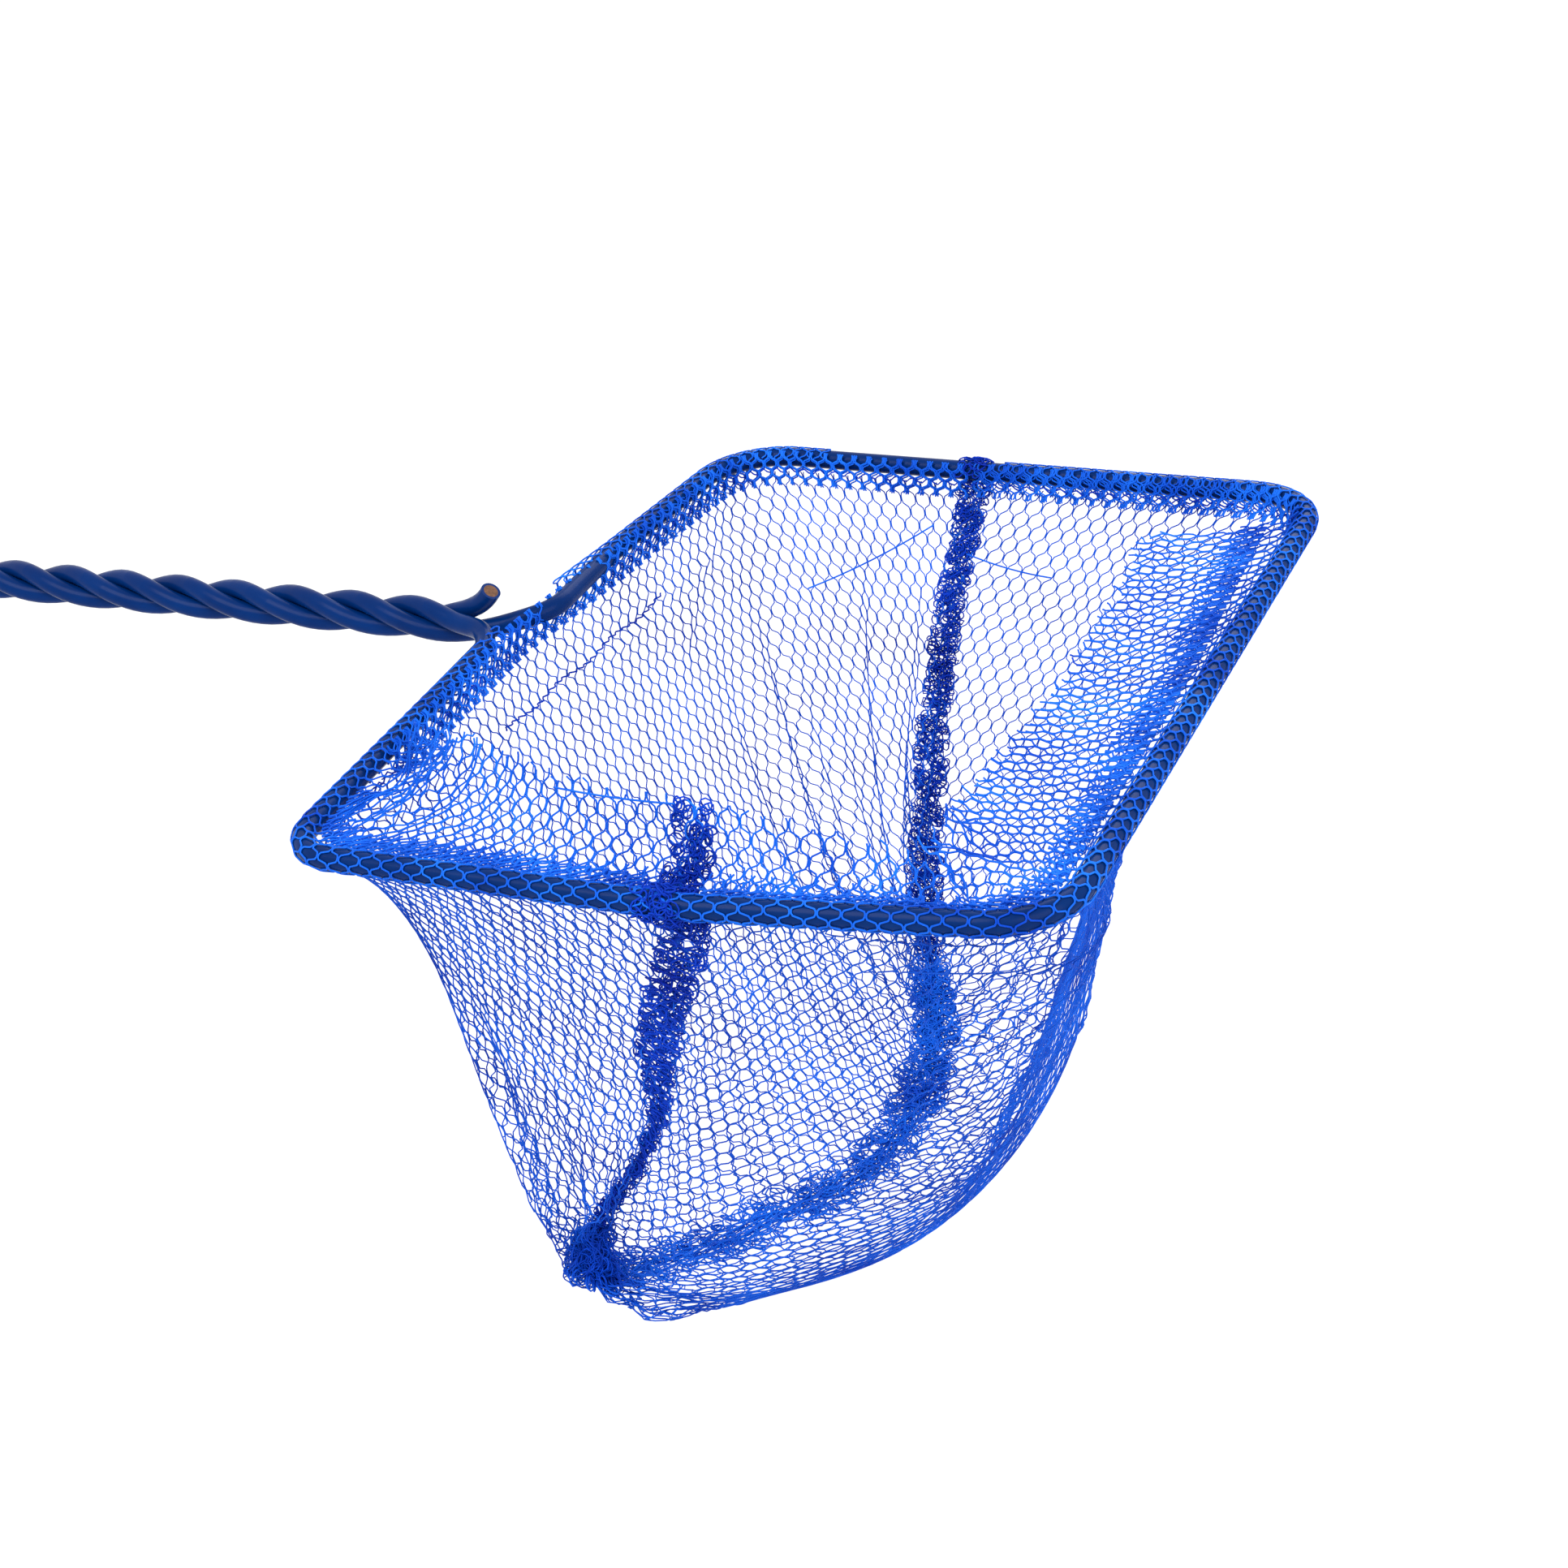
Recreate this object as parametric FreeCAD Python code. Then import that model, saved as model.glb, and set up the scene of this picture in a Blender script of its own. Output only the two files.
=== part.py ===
import FreeCAD, Part
import math
import os

from FreeCAD import Vector

# A small hand net: one length of coated wire, twisted into a three strand handle and bent to a hoop, with a bag
# of fine knitted net sewn over the hoop. Lengths are millimetres. X runs along the handle towards the hoop, Y runs
# across it and Z is up. The origin is the middle of the hand's grip, on the handle's axis.

# Wire
CORE_DIAMETER = 2.2
COATING_WALL = 0.4
WIRE_RADIUS = CORE_DIAMETER / 2 + COATING_WALL

# Handle. Lengths along X are counted from the hoop's handle side, which lies GRIP_TO_HOOP from the origin.
GRIP_TO_HOOP = 140.0
TWIST_LAY_LENGTH = 32.6
TWIST_FULL_TURNS = 5
TWIST_TO_HOOP = 13.0
TOP_STRAND_ANGLE = 144.5
STRAND_CLEARANCE = 0.06
STUB_END = (-6.0, 0.6, 5.2)
STUB_END_WAY = (0.6, -0.1, 0.8)
EYE_INNER_RADIUS = 4.5
EYE_NECK_LENGTH = 9.0
STRAND_TAIL = 3.0

# Hoop: the wire's centre line seen from above, as corners (x, y) from the handle side, each with its bend radius.
HOOP_LENGTH = 102.0
HOOP_HALF_WIDTH = 65.0
HOOP_FRONT_HALF_WIDTH = 60.5
NEAR_LIMB_START = (-3.4, -8.6)
FAR_LIMB_START = (0.5, 9.5)
FAR_LIMB_BEND_RADIUS = 80.0
NEAR_BACK_RADIUS = 7.2
FRONT_CORNER_RADIUS = 11.0
FAR_BACK_RADIUS = 11.3
NECK_RADIUS = 12.0
NEAR_SIDE_BEND_REACH = 2.0
NEAR_SEAM_X = 54.0
FAR_SEAM_X = 46.0
SEAM_TO_BEND = 3.0


def gentle_bend(before, corner, after, reach):
    """A corner with the bend radius that starts and ends at this reach from it."""
    turn = math.atan2(after[1] - corner[1], after[0] - corner[0])
    turn -= math.atan2(corner[1] - before[1], corner[0] - before[0])
    return corner, reach / math.tan(abs(turn) / 2)


FAR_LIMB_BEND = ((-0.2, 27.0), FAR_LIMB_BEND_RADIUS)
NEAR_BACK_CORNER = ((0.2, -HOOP_HALF_WIDTH), NEAR_BACK_RADIUS)
NEAR_FRONT_CORNER = ((HOOP_LENGTH + 0.2, -HOOP_FRONT_HALF_WIDTH + 1.9), FRONT_CORNER_RADIUS)
NEAR_SIDE_BEND = gentle_bend(
    NEAR_BACK_CORNER[0],
    (NEAR_SEAM_X + SEAM_TO_BEND, -HOOP_HALF_WIDTH + 0.2),
    NEAR_FRONT_CORNER[0],
    NEAR_SIDE_BEND_REACH,
)
FAR_FRONT_CORNER = ((HOOP_LENGTH - 0.1, HOOP_FRONT_HALF_WIDTH + 2.0), FRONT_CORNER_RADIUS)
FAR_BACK_CORNER = ((2.9, HOOP_HALF_WIDTH + 1.5), FAR_BACK_RADIUS)
NECK_CORNER = ((-3.2, -2.0), NECK_RADIUS)

# Net
NET_THICKNESS = 0.5
HEM_THICKNESS = 0.4
HEM_CLEARANCE = 0.05
SOFT_GAP = 0.3
SEAM_WIDTH = 4.4
SEAM_THICKNESS = 1.2
BOTTOM_SEAM_DIAMETER = 2.6
HEM_BAND_DEPTH = 0.07
THREAD_DIAMETER = 0.4
SEAM_STITCH = 8.0
SEAM_STITCH_WIDTH = 1.6
FLAP_SAG = 3.0
NET_OPENINGS_ACROSS = 10
NET_OPENINGS_DOWN = 5
NET_BAR_SHARE = 0.34
HEM_GAP_START_X = 20.6
HEM_GAP_END_X = 50.0
HEM_NECK_NEAR_Y = -9.5
HEM_NECK_FAR_Y = 18.0
HEM_THREAD_START_Y = -13.5
HEM_THREAD_END_Y = 33.0

# Bag: each line down the bag is a curve from the hoop to the bottom seam, drawn by two guide rings between them.
# A ring is a list of (share of the way from the near seam to the far seam, point), counted from the handle side.
NEAR_SEAM_GUIDES = (Vector(50, -58, -25), Vector(40, -47, -50), Vector(23, -47, -70))
FAR_SEAM_GUIDES = (Vector(38, 62, -28), Vector(34, 52, -60), Vector(38, 43, -82))
BOTTOM_LINE = (
    (0.0, NEAR_SEAM_GUIDES[2]),
    (0.25, Vector(25.5, -47, -78.5)),
    (0.5, Vector(46.5, -8, -85)),
    (0.75, Vector(45, 25, -87)),
    (1.0, FAR_SEAM_GUIDES[2]),
)
FRONT_UPPER_RING = (
    (0.0, NEAR_SEAM_GUIDES[0]),
    (0.12, Vector(69, -55.5, -18)),
    (0.23, Vector(101.5, -42, -24)),
    (0.35, Vector(91, -19.5, -28.5)),
    (0.5, Vector(74, 2, -32)),
    (0.77, Vector(72, 48, -32)),
    (0.88, Vector(62, 60, -30)),
    (1.0, FAR_SEAM_GUIDES[0]),
)
FRONT_LOWER_RING = (
    (0.0, NEAR_SEAM_GUIDES[1]),
    (0.1, Vector(38, -54.5, -96.5)),
    (0.23, Vector(70.5, -38, -93.5)),
    (0.5, Vector(78, 0, -95.5)),
    (0.77, Vector(66, 42, -90)),
    (0.88, Vector(56, 50, -80)),
    (1.0, FAR_SEAM_GUIDES[1]),
)
BACK_UPPER_RING = (
    (0.0, NEAR_SEAM_GUIDES[0]),
    (0.12, Vector(34.5, -51.5, -21.5)),
    (0.24, Vector(13, -38.5, -14)),
    (0.5, Vector(3, 0, -30)),
    (0.76, Vector(6, 52, -30)),
    (0.88, Vector(22, 60, -30)),
    (1.0, FAR_SEAM_GUIDES[0]),
)
BACK_LOWER_RING = (
    (0.0, NEAR_SEAM_GUIDES[1]),
    (0.12, Vector(21.5, -51, -80)),
    (0.24, Vector(15.5, -49, -74.5)),
    (0.5, Vector(20, 0, -72)),
    (0.76, Vector(20, 42, -74)),
    (0.88, Vector(28, 48, -72)),
    (1.0, FAR_SEAM_GUIDES[1]),
)
# The raw edge of the hem allowance, which stands inwards from the wire as a flap and curls up at the near side.
FRONT_FLAP_EDGE = (
    (0.0, Vector(NEAR_SEAM_X, -HOOP_HALF_WIDTH + 12.5, 7)),
    (0.05, Vector(NEAR_SEAM_X + 10, -HOOP_HALF_WIDTH + 14, 6)),
    (0.1, Vector(HOOP_LENGTH - 27.5, -HOOP_HALF_WIDTH + 15, 3.5)),
    (0.16, Vector(HOOP_LENGTH - 18, -HOOP_HALF_WIDTH + 16, 0.5)),
    (0.21, Vector(HOOP_LENGTH - 20.5, -HOOP_HALF_WIDTH + 22, -0.5)),
    (0.27, Vector(HOOP_LENGTH - 21.5, -HOOP_HALF_WIDTH + 30, -1)),
    (0.42, Vector(HOOP_LENGTH - 20, -12, -1)),
    (0.58, Vector(HOOP_LENGTH - 20, 21, -1)),
    (0.72, Vector(HOOP_LENGTH - 22.5, HOOP_HALF_WIDTH - 15, -1)),
)
BACK_FLAP_EDGE = (
    (0.0, Vector(NEAR_SEAM_X, -HOOP_HALF_WIDTH + 12.5, 7)),
    (0.1, Vector(NEAR_SEAM_X - 20, -HOOP_HALF_WIDTH + 15, 7)),
    (0.2, Vector(17, -HOOP_HALF_WIDTH + 22, 5.5)),
    (0.3, Vector(8, -HOOP_HALF_WIDTH + 26, 4)),
    (0.38, Vector(4.5, -HOOP_HALF_WIDTH + 30, 2.5)),
)


def from_hoop(x, y, z=0.0):
    """A point given from the hoop's handle side, in the part's own frame."""
    return Vector(GRIP_TO_HOOP + x, y, z)


def unit(vector):
    return vector * (1.0 / vector.Length)


def tangent_arc(start, corner, end):
    """The arc from start to end whose tangents meet at corner, or the straight run when they are in line."""
    middle = (start + end) * 0.5
    rise = corner - middle
    if rise.Length < 1e-6:
        return Part.LineSegment(start, end).toShape()
    half_chord = (end - start).Length / 2
    sagitta = half_chord * math.tan(math.atan2(rise.Length, half_chord) / 2)
    return Part.Arc(start, middle + unit(rise) * sagitta, end).toShape()


def smooth_path(knots):
    """A wire of pairs of tangent arcs through knots, each a point with the direction there."""
    edges = []
    for (start, start_way), (end, end_way) in zip(knots, knots[1:]):
        a = unit(start_way)
        b = unit(end_way)
        chord = end - start
        spread = 2 * (1 - a.dot(b))
        along = chord.dot(a + b)
        if spread < 1e-9:
            reach = chord.dot(chord) / (2 * along)
        else:
            reach = (math.sqrt(along * along + spread * chord.dot(chord)) - along) / spread
        first = start + a * reach
        second = end - b * reach
        joint = (first + second) * 0.5
        edges.append(tangent_arc(start, first, joint))
        edges.append(tangent_arc(joint, second, end))
    return Part.Wire(edges)


def bend_points(before, corner, after, radius):
    """Where a bend of this radius leaves and meets the straight runs on either side of its corner."""
    inwards = unit(before - corner)
    outwards = unit(after - corner)
    half_angle = inwards.getAngle(outwards) / 2
    reach = radius / math.tan(half_angle)
    return corner + inwards * reach, corner + outwards * reach


def bent_path(start, corners, end, inset=0.0, height=0.0):
    """A flat wire path of straight runs and round bends. inset moves it towards the inside of the hoop."""
    points = [Vector(*start, 0)] + [Vector(*corner, 0) for corner, radius in corners] + [Vector(*end, 0)]
    radii = [radius for corner, radius in corners]
    ways = [unit(b - a) for a, b in zip(points, points[1:])]
    lefts = [Vector(-way.y, way.x, 0) * inset for way in ways]
    moved = [points[0] + lefts[0]]
    for index in range(1, len(points) - 1):
        bisector = lefts[index - 1] + lefts[index]
        scale = 0.0
        if inset:
            scale = 2 * inset * inset / bisector.dot(bisector)
        moved.append(points[index] + bisector * scale)
    moved.append(points[-1] + lefts[-1])
    moved = [from_hoop(point.x, point.y, height) for point in moved]
    edges = []
    here = moved[0]
    for index, radius in enumerate(radii):
        corner = moved[index + 1]
        turn = ways[index].cross(ways[index + 1]).z
        leave, meet = bend_points(moved[index], corner, moved[index + 2], radius - math.copysign(inset, turn))
        edges.append(Part.LineSegment(here, leave).toShape())
        edges.append(tangent_arc(leave, corner, meet))
        here = meet
    edges.append(Part.LineSegment(here, moved[-1]).toShape())
    return Part.Wire(edges)


def tube(path, radius):
    """A round solid swept along a path of lines and arcs."""
    first = path.OrderedEdges[0]
    start = first.valueAt(first.FirstParameter)
    way = first.tangentAt(first.FirstParameter)
    ring = Part.Wire(Part.makeCircle(radius, start, way))
    solid = path.makePipeShell([ring], True, False)
    share = solid.Volume / (math.pi * radius * radius * path.Length)
    if not solid.isValid() or abs(share - 1) > 0.01:
        raise ValueError("tube of radius %.2f has %.4f of its volume" % (radius, share))
    return solid


def sleeve(path, outer_radius, inner_radius):
    return tube(path, outer_radius).cut(tube(path, inner_radius))


def twist_pitch():
    return 2 * math.pi / TWIST_LAY_LENGTH


def strand_circle_radius():
    """The smallest circle on which three strands lie round each other with their clearance."""
    wanted = 2 * WIRE_RADIUS + STRAND_CLEARANCE
    radius = wanted / math.sqrt(3)
    while True:
        nearest = wanted * 2
        for step in range(61):
            slip = step * 0.05
            chord = 2 * radius * math.sin((2 * math.pi / 3 - twist_pitch() * slip) / 2)
            nearest = min(nearest, math.hypot(slip, chord))
        if nearest >= wanted:
            return radius
        radius += 0.002


STRAND_CIRCLE = strand_circle_radius()
TWIST_END_X = GRIP_TO_HOOP - TWIST_TO_HOOP
TWIST_TURNS = TWIST_FULL_TURNS + (TOP_STRAND_ANGLE - 90) / 360
TWIST_START_X = TWIST_END_X - TWIST_TURNS * TWIST_LAY_LENGTH
EYE_RADIUS = EYE_INNER_RADIUS + WIRE_RADIUS
EYE_CENTRE_X = TWIST_START_X - EYE_NECK_LENGTH


def strand_knot(x, angle_at_end):
    """A point on a strand's centre line and the strand's direction there."""
    angle = math.radians(angle_at_end) + twist_pitch() * (x - TWIST_END_X)
    point = Vector(x, STRAND_CIRCLE * math.cos(angle), STRAND_CIRCLE * math.sin(angle))
    rate = STRAND_CIRCLE * twist_pitch()
    return point, Vector(1, -rate * math.sin(angle), rate * math.cos(angle))


def strand_path(angle_at_end):
    """One strand's helix, a knot at each quarter turn, from the eye's end to the hoop's end."""
    quarters = math.ceil(TWIST_TURNS * 4)
    step = (TWIST_END_X - TWIST_START_X) / quarters
    return smooth_path([strand_knot(TWIST_START_X + step * index, angle_at_end) for index in range(quarters + 1)])


BOTTOM_STRAND_ANGLE = TOP_STRAND_ANGLE + 120
STUB_STRAND_ANGLE = TOP_STRAND_ANGLE + 240


def near_shoulder_path():
    """The top strand leaves the twist, arches over and turns down into the hoop's near limb."""
    corner = Vector(*NEAR_BACK_CORNER[0], 0)
    limb = corner - Vector(*NEAR_LIMB_START, 0)
    knots = [
        strand_knot(TWIST_END_X, TOP_STRAND_ANGLE),
        (from_hoop(-7.8, -2.9, 0.75), Vector(1, -0.32, 0.0)),
        (from_hoop(*NEAR_LIMB_START), limb),
    ]
    return smooth_path(knots)


def far_shoulder_path():
    """The bottom strand passes under the others and rises into the hoop's far limb."""
    limb = Vector(*FAR_LIMB_BEND[0], 0) - Vector(*FAR_LIMB_START, 0)
    knots = [
        strand_knot(TWIST_END_X, BOTTOM_STRAND_ANGLE),
        (from_hoop(-6.2, 1.9, -1.1), Vector(1, 0.5, 0.16)),
        (from_hoop(*FAR_LIMB_START), limb),
    ]
    return smooth_path(knots)


def stub_path():
    """The wire's first end, left as a short cut stub that springs up out of the twist."""
    start, way = strand_knot(TWIST_END_X, STUB_STRAND_ANGLE)
    return smooth_path([(start, way), (from_hoop(*STUB_END), Vector(*STUB_END_WAY))])


def eye_path():
    """The hanging eye: the stub's strand leaves the twist, goes round and comes back as the bottom strand."""
    there, there_way = strand_knot(TWIST_START_X, STUB_STRAND_ANGLE)
    back, back_way = strand_knot(TWIST_START_X, BOTTOM_STRAND_ANGLE)
    flank = EYE_NECK_LENGTH - 1.5
    knots = [
        (there, there_way * -1),
        (Vector(TWIST_START_X - flank + 2.5, EYE_RADIUS * 0.9, 0), Vector(-1, 0.5, 0)),
        (Vector(EYE_CENTRE_X, EYE_RADIUS, 0), Vector(-1, 0, 0)),
        (Vector(EYE_CENTRE_X - EYE_RADIUS, 0, 0), Vector(0, -1, 0)),
        (Vector(EYE_CENTRE_X, -EYE_RADIUS, 0), Vector(1, 0, 0)),
        (Vector(TWIST_START_X - flank + 2.5, -EYE_RADIUS * 0.9, 0), Vector(1, 0.5, 0)),
        (back, back_way),
    ]
    return smooth_path(knots)


def strand_tail_path():
    """The wire's last end, cut off just past the twist, on top of the eye's neck."""
    start, way = strand_knot(TWIST_START_X, TOP_STRAND_ANGLE)
    end_way = unit(Vector(-1, way.y * -0.5, 0.12))
    return smooth_path([(start, way * -1), (start + unit(end_way - unit(way)) * STRAND_TAIL, end_way)])


def joined(*paths):
    return Part.Wire([edge for path in paths for edge in path.OrderedEdges])


def reversed_path(path):
    """The same path walked from its other end."""
    edges = []
    for edge in reversed(path.OrderedEdges):
        start = edge.valueAt(edge.FirstParameter)
        middle = edge.valueAt((edge.FirstParameter + edge.LastParameter) / 2)
        end = edge.valueAt(edge.LastParameter)
        if edge.Orientation == "Reversed":
            start, end = end, start
        if abs((end - start).Length - edge.Length) < 1e-9:
            edges.append(Part.LineSegment(end, start).toShape())
        else:
            edges.append(Part.Arc(end, middle, start).toShape())
    return Part.Wire(edges)


HOOP_CORNERS = (
    NEAR_BACK_CORNER,
    NEAR_SIDE_BEND,
    NEAR_FRONT_CORNER,
    FAR_FRONT_CORNER,
    FAR_BACK_CORNER,
    FAR_LIMB_BEND,
)


def hoop_path():
    return bent_path(NEAR_LIMB_START, HOOP_CORNERS, FAR_LIMB_START)


def on_run(first, second, x=None, y=None):
    """The point on the straight run between two corners, at the given x or y."""
    (ax, ay), (bx, by) = first[0], second[0]
    if x is not None:
        share = (x - ax) / (bx - ax)
    else:
        share = (y - ay) / (by - ay)
    return ax + (bx - ax) * share, ay + (by - ay) * share


NEAR_SEAM_POINT = on_run(NEAR_BACK_CORNER, NEAR_SIDE_BEND, x=NEAR_SEAM_X)
FAR_SEAM_POINT = on_run(FAR_FRONT_CORNER, FAR_BACK_CORNER, x=FAR_SEAM_X)


def rim_samples():
    """Points about half a millimetre apart along the closed rim that the net hangs from, with their distances."""
    corners = [Vector(*corner, 0) for corner, radius in HOOP_CORNERS + (NECK_CORNER,)]
    radii = [radius for corner, radius in HOOP_CORNERS + (NECK_CORNER,)]
    edges = []
    ends = []
    for index, corner in enumerate(corners):
        after = corners[(index + 1) % len(corners)]
        ends.append(bend_points(corners[index - 1], corner, after, radii[index]))
    for index, corner in enumerate(corners):
        leave, meet = ends[index]
        edges.append(tangent_arc(leave, corner, meet))
        edges.append(Part.LineSegment(meet, ends[(index + 1) % len(corners)][0]).toShape())
    rim = Part.Wire(edges)
    count = int(rim.Length / 0.5)
    points = rim.discretize(count)
    distances = [0.0]
    for a, b in zip(points, points[1:]):
        distances.append(distances[-1] + (b - a).Length)
    return points, distances


RIM_POINTS, RIM_DISTANCES = rim_samples()


def rim_distance(x, y):
    """How far along the rim the point nearest to (x, y) lies."""
    target = Vector(x, y, 0)
    gaps = [(point - target).Length for point in RIM_POINTS]
    return RIM_DISTANCES[gaps.index(min(gaps))]


NEAR_SEAM_DISTANCE = rim_distance(*NEAR_SEAM_POINT)
FAR_SEAM_DISTANCE = rim_distance(*FAR_SEAM_POINT)
RIM_LENGTH = RIM_DISTANCES[-1]


def rim_point(distance):
    distance = distance % RIM_LENGTH
    step = RIM_LENGTH / (len(RIM_POINTS) - 1)
    index = min(int(distance / step), len(RIM_POINTS) - 2)
    share = (distance - RIM_DISTANCES[index]) / (RIM_DISTANCES[index + 1] - RIM_DISTANCES[index])
    return RIM_POINTS[index] * (1 - share) + RIM_POINTS[index + 1] * share


def panel_rim_distance(u, front):
    """Rim distance of a panel's share u, from the near seam at 0 to the far seam at 1."""
    if front:
        return NEAR_SEAM_DISTANCE + (FAR_SEAM_DISTANCE - NEAR_SEAM_DISTANCE) * u
    return NEAR_SEAM_DISTANCE - (RIM_LENGTH - FAR_SEAM_DISTANCE + NEAR_SEAM_DISTANCE) * u


def rim_inset_point(u, front, inset, height):
    """A point beside the hoop's wire, inset towards the mouth."""
    distance = panel_rim_distance(u, front)
    way = rim_point(distance + 0.4) - rim_point(distance - 0.4)
    inwards = unit(Vector(-way.y, way.x, 0))
    return rim_point(distance) + inwards * inset + Vector(0, 0, height)


def along(ring, share):
    """The point at a share of a ring, on smooth curves through its guide points."""
    shares = [entry[0] for entry in ring]
    points = [entry[1] for entry in ring]
    last = len(ring) - 1
    slopes = []
    for index in range(len(ring)):
        low = max(index - 1, 0)
        high = min(index + 1, last)
        if 0 < index < last:
            before = shares[index] - shares[low]
            after = shares[high] - shares[index]
            first = (points[index] - points[low]) * (after / before)
            second = (points[high] - points[index]) * (before / after)
            slopes.append((first + second) * (1 / (before + after)))
        else:
            slopes.append((points[high] - points[low]) * (1 / (shares[high] - shares[low])))
    index = 0
    while index < last - 1 and share > shares[index + 1]:
        index += 1
    span = shares[index + 1] - shares[index]
    t = (share - shares[index]) / span
    return (
        points[index] * (2 * t**3 - 3 * t**2 + 1)
        + slopes[index] * (span * (t**3 - 2 * t**2 + t))
        + points[index + 1] * (3 * t**2 - 2 * t**3)
        + slopes[index + 1] * (span * (t**3 - t**2))
    )


PANEL_TOP_INSET = WIRE_RADIUS - SOFT_GAP
PANEL_TOP_DROP = WIRE_RADIUS + HEM_CLEARANCE + HEM_THICKNESS + NET_THICKNESS / 2


def bag_point(u, v, front):
    """The net at share u from the near seam to the far seam and share v from the hoop to the bottom seam."""
    if front:
        upper, lower = FRONT_UPPER_RING, FRONT_LOWER_RING
    else:
        upper, lower = BACK_UPPER_RING, BACK_LOWER_RING
    top = rim_inset_point(u, front, PANEL_TOP_INSET, -PANEL_TOP_DROP)
    w = 1 - v
    point = top * w**3 + along(upper, u) * (3 * w * w * v) + along(lower, u) * (3 * w * v * v)
    return point + along(BOTTOM_LINE, u) * v**3


def flap_point(u, w, front):
    """The hem allowance at share w from the wire to its raw edge."""
    edge = along(FRONT_FLAP_EDGE if front else BACK_FLAP_EDGE, u)
    inset = WIRE_RADIUS + HEM_CLEARANCE + HEM_THICKNESS + NET_THICKNESS / 2 + SOFT_GAP
    start = rim_inset_point(u, front, inset, -SOFT_GAP)
    guide = Vector(start.x * 0.25 + edge.x * 0.75, start.y * 0.25 + edge.y * 0.75, -FLAP_SAG)
    return start * (1 - w) ** 2 + guide * (2 * w * (1 - w)) + edge * w * w


def outline_on(surface, u_low, u_high, v_low, v_high):
    """A four sided wire along a surface's own lines."""
    edges = [
        surface.vIso(v_low).toShape(u_low, u_high),
        surface.uIso(u_high).toShape(v_low, v_high),
        surface.vIso(v_high).toShape(u_low, u_high),
        surface.uIso(u_low).toShape(v_low, v_high),
    ]
    return Part.Wire(Part.__sortEdges__(edges))


def ruled_side(under_curve, over_curve, low, high):
    """The face between the same stretch of two curves."""
    under_curve.segment(low, high)
    over_curve.segment(low, high)
    return under_curve.makeRuledSurface(over_curve).toShape()


def cloth_solid(place, columns, rows, thickness, lift=0.0, openings=()):
    """A solid of even thickness about the surface place(s, t), for s and t from 0 to 1, with its openings."""
    small = 1e-3
    layers = ([], [])
    for i in range(columns + 1):
        s = i / columns
        for layer in layers:
            layer.append([])
        for j in range(rows + 1):
            t = j / rows
            across = place(min(s + small, 1), t) - place(max(s - small, 0), t)
            down = place(s, min(t + small, 1)) - place(s, max(t - small, 0))
            normal = unit(across.cross(down))
            middle = place(s, t) + normal * lift + Vector(GRIP_TO_HOOP, 0, 0)
            layers[0][-1].append(middle - normal * (thickness / 2))
            layers[1][-1].append(middle + normal * (thickness / 2))
    surfaces = []
    for layer in layers:
        surface = Part.BSplineSurface()
        surface.interpolate(layer)
        surfaces.append(surface)
    faces = []
    for surface in surfaces:
        face = surface.toShape()
        if openings:
            face = Part.Face(surface, [outline_on(surface, *opening) for opening in openings])
            face.validate()
        faces.append(face)
    under, over = surfaces
    for u_low, u_high, v_low, v_high in ((0, 1, 0, 1), *openings):
        for u in (u_low, u_high):
            faces.append(ruled_side(under.uIso(u), over.uIso(u), v_low, v_high))
        for v in (v_low, v_high):
            faces.append(ruled_side(under.vIso(v), over.vIso(v), u_low, u_high))
    shell = Part.makeShell(faces)
    shell.sewShape()
    solid = Part.makeSolid(shell)
    if solid.Volume < 0:
        solid.reverse()
    return solid


def seam_share(v, front, at_far_end, distance):
    """The share u that lies a distance from a side seam, measured along the net at share v."""
    probe = 0.02
    if at_far_end:
        rate = (bag_point(1 - probe, v, front) - bag_point(1, v, front)).Length / probe
    else:
        rate = (bag_point(probe, v, front) - bag_point(0, v, front)).Length / probe
    return distance / rate


PANEL_END = 1 - 0.024
SEAM_EDGE = SEAM_WIDTH / 2 + SOFT_GAP


def net_openings():
    """A plain grid of openings, which stands for the net's holes."""
    openings = []
    for column in range(NET_OPENINGS_ACROSS):
        for row in range(NET_OPENINGS_DOWN):
            left = (column + NET_BAR_SHARE / 2) / NET_OPENINGS_ACROSS
            top = (row + NET_BAR_SHARE / 2) / NET_OPENINGS_DOWN
            width = (1 - NET_BAR_SHARE) / NET_OPENINGS_ACROSS
            height = (1 - NET_BAR_SHARE) / NET_OPENINGS_DOWN
            openings.append((left, left + width, top, top + height))
    return openings


def panel(front):
    def place(s, t):
        v = t * PANEL_END
        low = seam_share(v, front, False, SEAM_EDGE)
        high = 1 - seam_share(v, front, True, SEAM_EDGE)
        return bag_point(low + (high - low) * s, v, front)

    return cloth_solid(place, 44, 12, NET_THICKNESS, openings=net_openings())


def seam_point(reach, v, at_far_end):
    """A point on a side seam's strip, which runs straight across from one panel's edge to the other's."""
    edges = []
    for front in (False, True):
        share = seam_share(v, front, at_far_end, SEAM_WIDTH / 2)
        edges.append(bag_point(1 - share if at_far_end else share, v, front))
    s = 0.5 + reach / SEAM_WIDTH
    return edges[0] * (1 - s) + edges[1] * s


def side_seam(at_far_end):
    def place(s, t):
        return seam_point((s - 0.5) * SEAM_WIDTH, t * PANEL_END, at_far_end)

    return cloth_solid(place, 4, 12, SEAM_THICKNESS)


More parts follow.
